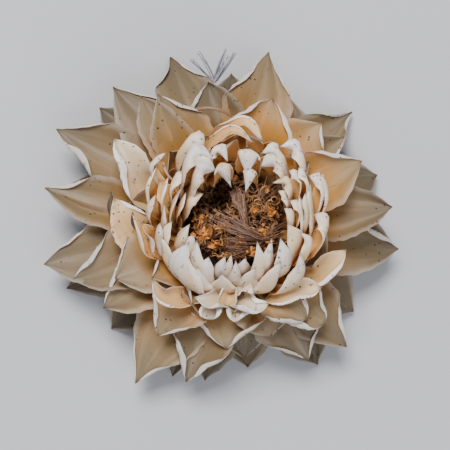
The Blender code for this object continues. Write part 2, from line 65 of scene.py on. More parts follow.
# Spreading bracts: angle, reach and height of the tip, and half width. Then, where they aren't 0, the bend
# sideways, and how far the margins on the anticlockwise and the clockwise side roll over, from 0 to 1.
LOWEST_BRACTS = [
    (136, 24.6, 0.9, 3.5), (108, 26, 0, 3.9, 0.3, 0.85, 1), (89, 22.2, 1.4, 3.3),
    (45, 24.4, 0.9, 3.5, 0.4, 1, 0.9), (22, 22.2, 1.1, 3.4), (356, 23.2, 0, 3.7), (304, 21.4, 0.9, 3.9),
    (278, 18.4, 1.2, 3.6), (261, 20.2, 0.9, 3.3), (249, 20.8, 1.1, 3.4, 0, 0.9), (200, 23, 0.9, 3.7),
    (163, 22, 1.2, 3.7), (220, 20.4, 0, 3.8), (328, 20, 1, 3.8), (66, 21, 1.1, 3.8),
]
MAIN_BRACTS = [
    (151, 26.6, 5, 4, 0, 0.8, 0.8), (130.5, 24.4, 6, 3.8, 0, 0, 0.9), (78, 24.8, 5, 4.2, 0, 0.95, 1),
    (6.2, 21, 9, 3.5), (354, 22.9, 3.6, 3.8, -0.5, 0.9), (314, 21.9, 5, 3.5, 0, 0.95),
    (300, 20.2, 5, 4.1, 0, 0.9, 0.9), (254, 21.2, 5, 4.1, 0.4, 0.9, 0.9), (239, 24, 4.5, 4.1, 0, 0.85, 0.9),
    (200, 22, 6, 3.8, 0, 0, 0.85), (192, 25, 4.5, 3.9, 0.4, 0, 0.95), (169, 25, 5.6, 3.2, 0.9, 0, 0.9),
    (276, 17.4, 4.6, 3.8), (99, 19.8, 6, 3.6, 0, 1), (39, 19.3, 7, 3, 0, 0, 1),
]
UPPER_BRACTS = [
    (121, 19.4, 10, 3.8, 0, 0, 0.9), (73, 16.8, 11, 4.2, 0, 0.9, 0.9), (49, 17.7, 9.2, 4.2, 0, 0, 1),
    (25.4, 18.3, 11.2, 3.8, 0, 0.9), (338, 13, 9.6, 3, 0.3), (267, 16.4, 8.5, 4.5, 0, 0.9, 0.9),
    (237, 17.7, 9, 3.7, 0, 0.9, 1), (214, 20, 7.4, 3.7, 0, 0, 0.95), (207, 17, 10, 3.6, 0, 0, 0.9),
    (176, 14.6, 9, 3.4), (288, 15.6, 8.6, 3.6), (126.5, 20.6, 9, 2.8, 0.5),
]
ROUND_BRACTS = [
    (312, 17.6, 8.6, 3.4, -1, 0.9, 0.9), (306, 15.6, 10.2, 3.1, -1, 1, 0.9),
]
STEEP_BRACTS = [
    (217, 13.2, 13, 2.6, 0.4, 0.5, 0.8), (244, 12.4, 12.6, 2.8, 0, 0.6, 0.3),
    (268, 12.2, 12.4, 2.8, 0, 0.3, 0.6), (287, 11.4, 11, 2.8, -0.3), (335, 11, 11, 2.8), (308, 11.6, 11, 2.8),
    (12, 10.8, 11.4, 2.8), (38, 12, 12.4, 2.8), (64, 11.2, 12, 2.8, 0, 0, 0.3), (88, 11, 12, 2.8),
    (112, 11.6, 12, 2.8), (135, 12, 12, 2.8), (158, 12, 11.6, 2.8), (184, 12, 11, 2.8),
]

# Crown bracts: belly, crest and tip, each as an angle, a radius and a height, then half width and twist
CROWN_TOP = [
    ((133, 10.7, 15.5), (122, 10.5, 17.8), (122, 8.6, 16.9), 1.7, 20),
    ((76, 8.8, 14), (78, 9.6, 15), (84, 10, 15.6), 1.6, 0),
    ((96, 8.4, 14), (94, 9, 15), (90, 9.4, 15.6), 1.6, 0),
    ((113, 7.5, 15.5), (108, 8.3, 18), (103, 6.3, 17), 1.7, 0),
    ((76, 6.4, 15), (81, 7.4, 18.1), (78, 4.7, 16.6), 1.75, 0),
    ((68, 4.8, 14), (75, 5.3, 17), (70, 2.7, 15.6), 1, 0),
    ((113, 5.3, 14.6), (111, 6.1, 17.6), (106, 3.3, 15.8), 1.5, 0),
    ((43, 8.5, 15.4), (59, 8.7, 18), (69, 7.7, 17.3), 1.3, -20),
    ((36, 7.5, 14.8), (54, 7.6, 17.6), (65, 6.2, 16.6), 1.4, -20),
    ((146, 8.5, 15), (129, 9.1, 18), (117, 7, 17.2), 1.7, 30),
    ((150, 6.8, 14.4), (134, 6.9, 17.5), (119, 5.8, 16.5), 1.7, 30),
    ((32, 10, 15.8), (49, 10.6, 18), (58, 9.4, 17.6), 1.4, -20),
]
CROWN_RIGHT = [
    ((18, 7.6, 15.6), (35, 8.3, 17.8), (39, 7.9, 17.6), 1.1, 25),
    ((17, 9, 15.8), (32, 9.2, 17.9), (36, 9.1, 17.8), 1.3, 25),
    ((354, 8.9, 15), (9, 8.6, 17.2), (15, 8.4, 17.6), 1.2, 25),
    ((3, 9.8, 15.2), (23, 10.6, 17.8), (27, 9.6, 17.4), 1.3, 25),
    ((4, 10.6, 15), (16, 11.4, 17.2), (25, 11, 17.9), 1.4, 25),
    ((341, 10.9, 14), (355, 10.9, 16.6), (358, 9.3, 16.9), 1.6, 0),
    ((347, 7.2, 14.4), (359, 6.6, 16), (5, 5.7, 16.2), 1, 10),
    ((353, 7.5, 14.6), (9, 7.3, 16.6), (12, 6.5, 16.5), 1.1, 25),
    ((19, 7.2, 15), (32, 7.2, 16.9), (41, 5.7, 15.9), 1.3, 0),
    ((9, 6.5, 14.4), (22, 6.3, 15.8), (29, 5.8, 15.4), 0.9, 10),
    ((349, 8.3, 14), (7, 8.1, 16), (16, 7.8, 16.6), 1.4, 40),
    ((352, 9.6, 14), (10, 9.3, 16.4), (22, 9.6, 17), 1.3, 40),
    ((328, 10.2, 14), (338, 9.5, 16.4), (341, 8, 16.8), 1.2, 0),
    ((327, 9, 14.2), (335, 8, 16), (346, 6.2, 16.6), 1.2, 0),
]
CROWN_LOWER = [
    ((234, 10.8, 12), (220, 9.7, 15), (213, 7.3, 16.5), 2.3, 0),
    ((238, 9.5, 12.5), (230, 8.1, 15), (216, 6.4, 16.6), 1.3, 0),
    ((245, 9.3, 12.5), (240, 8, 14.8), (237, 6.7, 15.6), 1.2, 0),
    ((245, 10.6, 11.8), (239, 9.6, 14.2), (234, 8.5, 15.6), 1.8, 0),
    ((260, 9.8, 11.8), (258, 8.9, 14.3), (255, 7.9, 15.4), 1.5, 0),
    ((256, 8.4, 12.8), (253, 7.2, 14.8), (254, 5.8, 15.8), 1.3, 0),
    ((262, 7.6, 13.2), (261, 6.5, 15), (261, 5.4, 15.8), 0.9, 0),
    ((269, 8.9, 12.3), (269, 7.5, 14.6), (267, 6.1, 15.8), 1.35, 0),
    ((281, 9.4, 12), (281, 8.3, 14.3), (287, 7.2, 15.6), 1.4, 0),
    ((290, 8.7, 12.6), (295, 6.8, 15.2), (301, 4.4, 16.4), 1, 0),
    ((299, 8.1, 13.4), (306, 6.6, 15.8), (319, 5.3, 17), 1.4, 0),
    ((310, 9.5, 13.4), (316, 8.2, 15.8), (326, 6.1, 17), 1.5, 0),
    ((293, 10.3, 12), (302, 9, 14.8), (310, 8.1, 16), 1.7, 0),
    ((307, 11.5, 12), (318, 10.9, 14.8), (326, 9.1, 16.4), 1.5, 0),
    ((276, 7.6, 12.8), (277, 6.6, 14.4), (279, 5.7, 15.2), 1.1, 0),
    ((222, 8.6, 13), (214, 7.4, 14.6), (208, 6.2, 15.5), 1.3, 0),
]
CROWN_LEFT = [
    ((155, 10.8, 15.5), (149, 12.2, 17.4), (143, 11.4, 17.9), 1.4, -30),
    ((168, 10.7, 14.6), (159, 11.4, 16.8), (153, 11.4, 17.6), 1.7, -55),
    ((177, 8.7, 13.8), (165, 9.2, 16), (160, 10.5, 17), 1.3, -50),
    ((181, 11, 13.8), (175, 11.2, 15.8), (170, 10.4, 17), 1.2, -40),
    ((180, 8.4, 13.6), (170, 8.2, 15.4), (158, 7.6, 16.6), 0.8, -20),
    ((178, 7.6, 13.4), (172, 7.3, 15), (161, 6.9, 16.2), 0.7, -20),
    ((170, 6.5, 13.2), (160, 6.1, 15.2), (152, 4.9, 15.4), 1.2, -30),
    ((207, 8.8, 13), (202, 7.7, 14.8), (195, 6.2, 15.6), 1.1, -40),
    ((199, 12.6, 13.4), (190, 12.8, 15.2), (182, 13.1, 16.2), 0.9, -30),
    ((200, 11.5, 13), (192, 11.5, 15), (188, 12.1, 16), 1, -30),
    ((202, 10.8, 13), (195, 10.5, 15), (189, 9.8, 16), 1, -30),
    ((202, 10, 13), (195, 9.6, 14.8), (189, 8.3, 15.8), 1, -30),
    ((213, 10.7, 12.4), (205, 10.2, 14.2), (197, 10.1, 15), 1.1, -20),
    ((187, 9.6, 13.2), (181, 9.4, 14.8), (174, 9.2, 15.8), 1.1, -30),
    ((172, 9.4, 14.2), (163, 9.8, 16.2), (155, 9.6, 17), 1.3, -30),
    ((162, 8.6, 14.6), (152, 9, 16.6), (146, 8.6, 17), 1.4, -20),
]
# Two upright ones that close the gaps at the back, under the bent ones
CROWN_BACK = [
    ((57, 7.7, 13.2), (58, 8.6, 15.6), (58, 8.6, 17.2), 1.8, 0),
    ((121, 7.7, 13.2), (121, 8.5, 15.6), (121, 8.5, 17.2), 1.7, 0),
]
# Two more at the top, bent over sideways: as above, then how warm, partly painted glow, and how far the left
# and right margins roll
ARCHED_BRACTS = [
    ((98, 10.8, 15.8), (87, 11.3, 17.2), (72, 9.2, 17.4), 0.85, -35, 0.4, 1, 0),
    ((107, 9.5, 16), (95, 10, 17.4), (78, 8.7, 17.3), 0.85, -35, 0.4, 1, 0),
]

# Short bracts that lie curved on the outer ones, most of them below the crown: as the bent ones above
LYING_BRACTS = [
    ((236, 12.6, 11.2), (227, 13.9, 12.4), (218, 13.4, 14.2), 1.5, 20, 0.9, 1, 0),
    ((261, 10.6, 11.4), (251, 11.4, 12.6), (243, 11.6, 13.2), 1.5, 15, 0.1, 0.8, 0),
    ((265, 9.5, 11.6), (264, 10.6, 12.8), (264, 11.4, 12.4), 1.5, -10, 1.3, 0.5, 0.6),
    ((273, 10.5, 11.6), (282, 11.6, 12.8), (290, 11.8, 13.2), 1.6, -25, 0.1, 0.9, 0.6),
    ((270, 9.3, 12), (277, 9.1, 13.2), (282, 10.2, 13.5), 1, -10, 0.1, 0, 0.6),
    ((256, 11.4, 10.6), (256, 12.5, 11.3), (257, 13.3, 11.2), 1.8, 10, 0.2, 1, 1),
    ((271, 11.4, 10.6), (270, 12.4, 11.3), (270, 13.2, 11), 2, -10, 0.2, 1, 1),
    ((300, 11.5, 10.9), (314, 12.8, 11.8), (321, 14, 12.2), 1.5, -10, 0.8, 0, 1),
    ((325, 13, 10.6), (337, 13.8, 11.8), (344, 14.6, 12.4), 1.5, 0, 1, 0, 1),
    ((159, 13.6, 9.4), (151, 16.2, 10.4), (146, 18.7, 10.2), 2.4, 12, 0.25, 0.9, 0),
    ((190, 12.4, 10), (179, 13.9, 11.2), (171, 15.7, 11.2), 2.3, 0, 1, 0, 1),
]

# Narrow dried bracts seen edge-on at the left: root, belly and tip as points, half width and twist
NARROW_BRACTS = [
    ((-9, -1.5, 7.4), (-15.4, -0.2, 8.6), (-15.8, 3.6, 9.8), 1.5, 95),
    ((-7.8, -2.6, 7.6), (-12.6, -1.8, 11.4), (-13.1, 0.2, 13.6), 1, 70),
]

# Small brown scales under the pad: count, root radius and height, tip radius and height, and half width
SCALE_ROWS = [
    (22, 3.8, 3.5, 8.9, 2.9, 1.7), (18, 2.3, 2.8, 6.9, 2.1, 1.4),
]

# Looks of a bract, mostly ranges that each bract draws from:
# cup and keel bend its cross-section, and fold says how far a margin rolls where the tables don't,
# roll is how wide the roll is, and rolled_at and rolled_for where along the bract it lies and for how long,
# buckle is how deep it waves, widest_at and widest the point it is widest at and how far past that,
# taper, point and foot shape its outline, and steps and columns are its faces along and across
SPREADING_LOOK = dict(cup=(0.10, 0.30), keel=(0.0, 0.25), fold=(0.0, 1.0), roll=(0.16, 0.32),
                      rolled_at=(0.74, 0.90), rolled_for=(0.13, 0.24), buckle=0.30, widest_at=1,
                      widest=(-0.12, 0.0), taper=(1.9, 2.6), point=1.2, foot=0.55, thickness=0.13,
                      steps=28, columns=26)
ROUND_LOOK = dict(SPREADING_LOOK, taper=(2.4, 3.0), point=0.75, roll=(0.20, 0.30))
CROWN_LOOK = dict(cup=(0.25, 0.45), keel=(0.0, 0.3), fold=(-0.07, 0.52), roll=(0.20, 0.40),
                  rolled_at=(0.66, 0.92), rolled_for=(0.14, 0.30), buckle=0.20, widest_at=2,
                  widest=(-0.10, 0.0), taper=(1.5, 2.1), point=1.3, foot=0.50, thickness=0.12,
                  steps=26, columns=20)
TOP_LOOK = dict(CROWN_LOOK, cup=(0.45, 0.75), taper=(1.9, 2.5), point=1.5)
LOWER_LOOK = dict(CROWN_LOOK, cup=(0.35, 0.60), widest=(-0.22, -0.10), taper=(1.5, 2.0), point=1.2)
BACK_LOOK = dict(CROWN_LOOK, fold=(0.0, 0.0))
LINING_LOOK = dict(CROWN_LOOK, cup=(0.25, 0.40), keel=(0.0, 0.2), fold=(-0.1, 0.3), roll=(0.10, 0.24),
                   buckle=0.18, widest_at=1, widest=(-0.1, 0.05), taper=(1.5, 2.0), point=1.2, foot=0.6,
                   thickness=0.13, steps=14, columns=10)
LYING_LOOK = dict(CROWN_LOOK, cup=(0.1, 0.5), keel=(-0.3, 0.5), fold=(0.0, 0.76), roll=(0.24, 0.40),
                  buckle=0.50, widest=(-0.15, 0.0), taper=(1.8, 2.6), point=1.2, foot=0.6,
                  thickness=0.13, columns=22)
SCALE_LOOK = dict(CROWN_LOOK, cup=(0.15, 0.30), keel=(0.0, 0.1), fold=(-0.14, 0.17), roll=(0.10, 0.24),
                  buckle=0.08, widest_at=1, widest=(-0.05, 0.1), taper=(1.8, 2.4), point=1.0, foot=0.7,
                  thickness=0.16, steps=12, columns=8)

# Each spreading row: its bracts, root radius and height, rise at the root, arch, how warm, partly painted glow
# that also lightens it, and look
SPREADING_ROWS = [
    (LOWEST_BRACTS, 7.7, 5.1, -6.0, 0.9, 0.08, SPREADING_LOOK),
    (MAIN_BRACTS, 7.6, 5.9, 4.0, 0.7, 0.25, SPREADING_LOOK),
    (UPPER_BRACTS, 7.6, 6.7, 24.0, 0.9, 0.55, SPREADING_LOOK),
    (ROUND_BRACTS, 7.6, 6.9, 24.0, 1.0, 0.60, ROUND_LOOK),
    (STEEP_BRACTS, 7.7, 7.0, 42.0, -0.2, 1.00, SPREADING_LOOK),
]

# Spreading bracts are a little wider than their solids, and no tip lies lower than this
SPREADING_WIDEN = 1.16
LOWEST_TIP = 0.3

# Where the middle of a spreading bract lies between its root and tip, outward and upward
MIDDLE_REACH = 0.55
MIDDLE_HEIGHT = 0.5

# How much further than the middle of a bract its sway turns the root
ROOT_SWAY = 1.6

# Every second bract of a row lies this much higher on its neighbours
ROW_STAGGER = 0.45

# The side where the bracts are the most orange, as a painted backlit glow, the share of the row's warm tint
# elsewhere, and how narrow that side is
PAINTED_GLOW_SIDE = 64.0
OTHER_WARMTH = 0.65
WARM_FOCUS = 8

# The bract with a brown streak along it: its angle and reach
STAINED_BRACT = (169, 25.0)

# Each side of the crown: its bracts, rise at the root, widening, how warm its colour is, partly painted glow,
# and look
CROWN_SIDES = {
    "top": (CROWN_TOP, 52.0, 1.14, 0.40, TOP_LOOK),
    "right": (CROWN_RIGHT, 40.0, 1.10, 0.60, CROWN_LOOK),
    "lower": (CROWN_LOWER, 28.0, 1.25, 0.38, LOWER_LOOK),
    "left": (CROWN_LEFT, 40.0, 1.25, 0.65, CROWN_LOOK),
    "back": (CROWN_BACK, 52.0, 1.20, 0.80, BACK_LOOK),
}

# Roots of the crown and of the lying bracts, each as a radius and a height, and how far they are turned back,
# as a share of the turn from belly to tip and from belly to crest
CROWN_ROOT = (6.0, 8.2)
CROWN_ROOT_TURN = 0.6
LYING_ROOT = (7.8, 7.4)
LYING_ROOT_TURN = 0.5

# The lining of the crown: root, belly and tip, each as a radius and a height
LINING_COUNT = 24
LINING_ROOT = (5.7, 8.2)
LINING_BELLY = (7.6, 11.0)
LINING_TIP = (6.9, 13.2)
LINING_HALF_WIDTH = 1.5

# How steeply, in degrees, the other bracts and the scales leave their roots
LINING_RISE = 52.0
LYING_RISE = 30.0
NARROW_RISE = 10.0
SCALE_RISE = -4.0

# Lying bracts are a little wider than in their table, narrow ones half stained, and every second scale lower
LYING_WIDEN = 1.2
NARROW_STAIN = 0.5
SCALE_DROP = 0.22

# How far, in radians, a margin rolls at most, and where across a bract a narrow roll starts
FULL_ROLL = 2.9
ROLL_START = 0.94

# Creases on each side of a bract and how far, in radians, they lean at most
CREASES = 2
CREASE_LEAN = 0.32

# The waves that a bract's buckling is made of, and its pleats' depth where its half width is as given
WAVES = 5
PLEAT_DEPTH = 0.10
PLEATED_HALF_WIDTH = 4.0

# How much a bract's margins waver, and its width at the very tip, as shares of its width
RAGGED = 0.04
FINELY_RAGGED = 0.025
TIP_WIDTH = 0.012

# Where a bract's belly lies along its UV map, so that its colours fall alike on long and short ones
BELLY_PLACE = 0.6

# The stem and its pad: radius and height of the turned outline, its sides, its ribs and their depth
STEM_SECTIONS = [
    (1.35, 0.36), (1.6, 0.5), (1.56, 1.4), (1.48, 2.3), (1.65, 2.8), (2.3, 3.3), (4.3, 4.25), (6.3, 5.2),
    (6.75, 5.75), (6.55, 6.45), (4.6, 6.95), (2.3, 7.1), (0, 7.18),
]
STEM_SIDES = 72
STEM_RIBS = 12
STEM_RIB_DEPTH = 0.045

# The disc: its core, and the hollow in it, painted dark as shade in its middle
DISC_RADIUS = 4.7
CORE_RADIUS = 6.2
CORE_FOOT = 7.0
CORE_TOP = 10.3
CORE_RINGS = 20
CORE_SIDES = 60
HOLLOW_CENTRE = (-2.7, 3.2)
HOLLOW_RADIUS = 2.9
HOLLOW_DEPTH = 2.7

# Deeper than this lies the middle of the hollow, painted dark as shade, and the share of their own tone that
# florets and scraps keep there
DARK_DEPTH = 0.6
PAINTED_HOLLOW_SHADE = 0.12

# Florets: their count, height and radii from foot to mouth, the radius of an open and of a shut mouth, how
# far the lobes of an open one stand out, and the share that is open
FLORET_COUNT = 115
FLORET_TOP = 12.3
FLORET_RADII = (0.13, 0.15, 0.19, 0.26, 0.30)
OPEN_MOUTH = 0.24
SHUT_MOUTH = 0.07
MOUTH_LOBES = 0.14
OPEN_SHARE = 0.3
FLORET_SIDES = 8
GOLDEN_ANGLE = 137.508

# Crumbs, curled scraps and flat brown ribbons among the florets, and the steps and sides of their tubes
CRUMB_COUNT = 520
CURL_COUNT = 320
CURL_STEPS = 7
CURL_SIDES = 5
RIBBON_COUNT = 34
RIBBON_STEPS = 11
RIBBON_SIDES = 6

# Where the ribbons lie, how far round it, and their radius at the start and at the end
RIBBON_PLACE = (3.0, 2.4, 12.6)
RIBBON_SPREAD = 1.9
RIBBON_RADII = (0.13, 0.05)

# Orange lumps of crumpled florets, as x, y, height and radius, and the crumbs in each
LUMPS = [
    (3.7, 3.6, 13, 0.5), (0.5, -3, 12.6, 0.7), (3.3, -2, 12.8, 0.5), (4.3, -3, 12.6, 0.5),
    (-3.9, -2.4, 12.2, 0.8), (-5, -2.6, 12, 0.6), (1.8, -4.5, 12.2, 0.6), (-1.4, -1.5, 12.6, 0.6),
    (-4.6, -0.4, 11.6, 0.6), (4.4, 0.6, 12.8, 0.6), (-2.6, -3.4, 12, 0.6), (2.6, 0.8, 12.9, 0.5),
]
LUMP_CRUMBS = 7

# Bristles in brushes: root, heading and spread in degrees, length, rise, wisps and bristles in each
BRUSHES = [
    ((3.6, -3, 12.6), 158, 12, 8.8, 1.3, 10, 3), ((2.6, -2.7, 12.5), 146, 13, 5.6, 1.5, 7, 3),
    ((3.2, -3.2, 12.3), 174, 10, 5.4, 0.9, 5, 4), ((1.1, -1, 12.7), 107, 14, 4.8, 1, 7, 14),
    ((3.2, 2.2, 12.4), 50, 34, 4, 1.4, 4, 3), ((2.6, 1.2, 12.2), 84, 26, 3.4, 1.4, 4, 3),
    ((2.4, -4.2, 12), 182, 26, 4.6, 0.7, 6, 5), ((3.4, -2.8, 12.6), 34, 24, 3.4, 0.9, 5, 4),
    ((-3.8, -3.4, 11.4), 118, 40, 2.2, 1, 4, 5), ((-0.8, -4.6, 11.6), 60, 60, 2, 1.2, 5, 5),
]
LOOSE_BRISTLES = 260

# A bristle of a brush, a loose one and one of the tuft: radius at the root and at the end, steps and sides
BRUSH_BRISTLE = (0.050, 0.026, 7, 4)
LOOSE_BRISTLE = (0.04, 0.018, 6, 3)
TUFT_BRISTLE = (0.12, 0.06, 8, 5)

# The grey tuft caught between two upper bracts: root, then the ends of its strands
TUFT_ROOT = (-2.4, 19.3, 7.2)
TUFT_ENDS = [(-5.6, 21.6, 9.5), (-4.6, 22.7, 9.5), (-1.2, 23.2, 9.5), (0.3, 22.7, 9.3), (-0.6, 22.4, 9.0)]
TUFT_HAIRS = 3

# Brown dried threads: their points and half thickness. The second is partly a brown stain and partly painted
# shadow in the crease between two bract edges
THREADS = [
    (((-5.4, 14.2, 9.6), (-4.1, 14.7, 10.3), (-2.9, 14.7, 10.5), (-0.8, 14.0, 10.3), (0.4, 13.2, 9.8)), 0.28),
    # Partly a brown stain, partly a painted shadow line in a crease
    (((-6.6, -9.4, 12.4), (-6.0, -10.4, 12.3), (-5.2, -11.4, 11.8), (-4.4, -12.4, 11.2), (-3.8, -13.2, 10.6)),
     0.20),
]
THREAD_STEPS = 24
THREAD_SIDES = 8
THREAD_TONE = (0.4, 0.5)

# Colours of the marks on a bract and of the light through it, and how rough paper and grain are
BRUISE_BROWN = (0.30, 0.16, 0.06)
STREAK_BROWN = (0.17, 0.085, 0.022)
SMUDGE_GREY = (0.16, 0.13, 0.11)
TIP_BROWN = (0.15, 0.08, 0.03)
SPECK_BROWN = (0.035, 0.022, 0.015)
THROUGH_COLOUR = (1.0, 0.80, 0.55)
BRACT_ROUGHNESS = 0.45
GRAIN_ROUGHNESS = 0.8

# Where across the stained bract its streak lies
STREAK_PLACE = 0.60


def polar(angle, radius, height):
    """A point in millimetres from an angle in degrees, a radius and a height."""
    turn = math.radians(angle)
    return Vector((radius * math.cos(turn), radius * math.sin(turn), height))


def smoothstep(low, high, value):
    """0 below low, 1 above high and smooth between, for arrays."""
    share = np.clip((np.asarray(value, float) - low) / (high - low), 0.0, 1.0)
    return share * share * (3.0 - 2.0 * share)


def unit(vectors):
    """Vectors scaled to length 1."""
    return vectors / np.maximum(np.linalg.norm(vectors, axis=-1, keepdims=True), 1e-12)


def random_vector(rng, size, lift=0.0):
    """A seeded random vector: up to size each way, and raised by lift."""
    return Vector((rng.uniform(-size, size), rng.uniform(-size, size), rng.uniform(-size, size) + lift))


def bowed(start, end, bow, steps):
    """Points from start to end, bowed sideways by a vector at the middle."""
    return [start.lerp(end, step / steps) + bow * (4.0 * step / steps * (1.0 - step / steps))
            for step in range(steps + 1)]


def spine_through(points, rise, steps, finely=30):
    """Even points on a smooth curve that leaves the first point at a given rise and passes the others."""
    outward = Vector((points[1].x, points[1].y, 0.0)).normalized()
    leave = outward * math.cos(math.radians(rise)) + Vector((0.0, 0.0, math.sin(math.radians(rise))))
    chords = [after - before for before, after in zip(points, points[1:])]
    tangents = [leave]
    for before, after in zip(chords, chords[1:]):
        weighted = before.normalized() * after.length + after.normalized() * before.length
        tangents.append(weighted.normalized())
    tangents.append(chords[-1].normalized())
    curve = [points[0]]
    for place, chord in enumerate(chords):
        third = chord.length / 3
        curve += geometry.interpolate_bezier(points[place], points[place] + tangents[place] * third,
                                             points[place + 1] - tangents[place + 1] * third,
                                             points[place + 1], finely)[1:]
    curve = np.array([tuple(point) for point in curve])
    lengths = np.concatenate([[0.0], np.cumsum(np.linalg.norm(np.diff(curve, axis=0), axis=1))])
    wanted = np.linspace(0.0, lengths[-1], steps + 1)
    return np.stack([np.interp(wanted, lengths, curve[:, axis]) for axis in range(3)], axis=1)


class Gathered:
    """Gathers many small shapes into one mesh, with a UV map and a colour attribute for the materials."""

    def __init__(self):
        self.layers = []
        self.faces = []
        self.count = 0

    def add(self, points, faces, uvs, tones):
        """Add a shape: a UV pair and four tone numbers for each point."""
        self.layers.append((points, uvs, tones))
        self.faces += [[corner + self.count for corner in face] for face in faces]
        self.count += len(points)

    def build(self, name, material, sharp_degrees=55.0):
        """The finished object, shaded smooth."""
        points, uvs, tones = map(np.concatenate, zip(*self.layers))
        mesh = bpy.data.meshes.new(name)
        mesh.from_pydata((points * MM + np.array(FLOWER_FOOT)).tolist(), [], self.faces)
        corners = np.empty(len(mesh.loops), dtype=np.int32)
        mesh.loops.foreach_get("vertex_index", corners)
        layer = mesh.uv_layers.new(name="along")
        layer.data.foreach_set("uv", uvs[corners].astype(np.float32).ravel())
        attribute = mesh.color_attributes.new("tone", "FLOAT_COLOR", "POINT")
        attribute.data.foreach_set("color", tones.astype(np.float32).ravel())
        mesh.validate()
        mesh.shade_smooth()
        mesh.set_sharp_from_angle(angle=math.radians(sharp_degrees))
        mesh.materials.append(material)
        item = bpy.data.objects.new(name, mesh)
        bpy.context.scene.collection.objects.link(item)
        return item


def add_shell(gathered, upper, lower, uv, chance, warmth_and_painted_glow, stain):
    """Add a thin closed sheet from the grids of points on its upper and lower face."""
    rows, columns = upper.shape[:2]
    index = np.arange(rows * columns).reshape(rows, columns)
    shift = rows * columns
    corners = (index[:-1, :-1], index[:-1, 1:], index[1:, 1:], index[1:, :-1])
    front = np.stack(corners, -1).reshape(-1, 4)
    back = np.stack(corners[::-1], -1).reshape(-1, 4) + shift
    border = np.concatenate([index[0, :-1], index[:-1, -1], index[-1, :0:-1], index[:0:-1, 0]])
    after = np.roll(border, -1)
    rim = np.stack([after, border, border + shift, after + shift], -1)
    points = np.concatenate([upper.reshape(-1, 3), lower.reshape(-1, 3)])
    tones = np.empty((2 * shift, 4))
    tones[:] = (chance, warmth_and_painted_glow, 1.0, stain)
    tones[shift:, 2] = 0.0
    flat = uv.reshape(-1, 2)
    gathered.add(points, np.concatenate([front, back, rim]).tolist(), np.concatenate([flat, flat]), tones)


def soft_waves(share, across, rng):
    """A seeded soft buckling between about -1 and 1: a mean of slow waves along and across a sheet."""
    field = np.zeros(np.broadcast(share, across).shape)
    for _ in range(WAVES):
        pace_along = rng.uniform(3.0, 14.0)
        pace_across = rng.uniform(-5.0, 5.0)
        field += np.sin(pace_along * share + pace_across * across + rng.uniform(0.0, math.tau)) / WAVES
    return field


def section_angles(place, share, look, rolls, rng):
    """How far the cross-section leans at each place: its cup, keel, creases and rolled margins."""
    reach = np.abs(place)[None, :]
    side = np.sign(place)[None, :]
    rows = share[:, None]
    angle = 2.0 * rng.uniform(*look["cup"]) * place[None, :] * np.ones_like(rows)
    angle = angle + side * rng.uniform(*look["keel"]) * smoothstep(0.25, 0.75, rows)
    for edge, roll in zip((1.0, -1.0), rolls):
        mine = (side == edge)
        for _ in range(CREASES):
            spot = rng.uniform(0.2, 0.6)
            start = rng.uniform(0.1, 0.6)
            bent = rng.uniform(-CREASE_LEAN, CREASE_LEAN) * smoothstep(start, start + 0.3, rows)
            angle = angle + mine * edge * bent * smoothstep(spot, spot + 0.1, reach)
        window = np.exp(-((rows - rng.uniform(*look["rolled_at"])) / rng.uniform(*look["rolled_for"])) ** 2)
        turned = FULL_ROLL * roll * smoothstep(0.05, 0.5, window)
        spot = ROLL_START - rng.uniform(*look["roll"]) * window
        angle = angle + mine * edge * turned * smoothstep(spot, spot + 0.12, reach)
    return angle


def summed_from_middle(steps):
    """Running sums along each row of steps, counted from the middle column."""
    sums = np.concatenate([np.zeros((len(steps), 1)), np.cumsum(steps, axis=1)], axis=1)
    middle = steps.shape[1] // 2
    return sums - sums[:, middle:middle + 1]


def outline(share, widest, look, rng):
    """Half width along a bract as a share of its widest: a narrower foot and a drawn-out point."""
    foot = look["foot"] + (1.0 - look["foot"]) * (1.0 - (1.0 - np.minimum(share / widest, 1.0)) ** 2)
    past_widest = np.clip((share - widest) / (1.0 - widest), 0.0, 1.0)
    taper = 1.0 - past_widest ** rng.uniform(*look["taper"])
    return np.maximum(foot * taper ** look["point"], TIP_WIDTH)


def ragged_margins(place, share, rng):
    """A width for each margin that wavers a little about 1."""
    left, right = [1.0 + RAGGED * np.sin(share * rng.uniform(9.0, 22.0) + rng.uniform(0.0, 6.0))
                   + FINELY_RAGGED * np.sin(share * rng.uniform(35.0, 70.0)) for _ in range(2)]
    return np.where(place[None, :] < 0.0, left[:, None], right[:, None])


def drawn_rolls(look, rng):
    """How far each margin rolls over, drawn within the range of a look."""
    return [min(max(0.0, rng.uniform(*look["fold"])), 1.0) for _ in range(2)]


def bract_frame(points, rise, look, twist, lying):
    """A bract's midrib, and the directions across it and out of its face at each step of it."""
    spine = spine_through(points, rise, look["steps"])
    along = unit(np.gradient(spine, axis=0))
    sideways = np.cross((0.0, 0.0, 1.0), along) if lying else np.array([(-points[1].y, points[1].x, 0.0)])
    sideways = unit(sideways)
    across = unit(sideways - along * (along * sideways).sum(axis=1, keepdims=True))
    inward = np.cross(along, across)
    turn = (math.radians(twist) * np.linspace(0.0, 1.0, look["steps"] + 1) ** 1.3)[:, None]
    return spine, across * np.cos(turn) + inward * np.sin(turn), inward * np.cos(turn) - across * np.sin(turn)


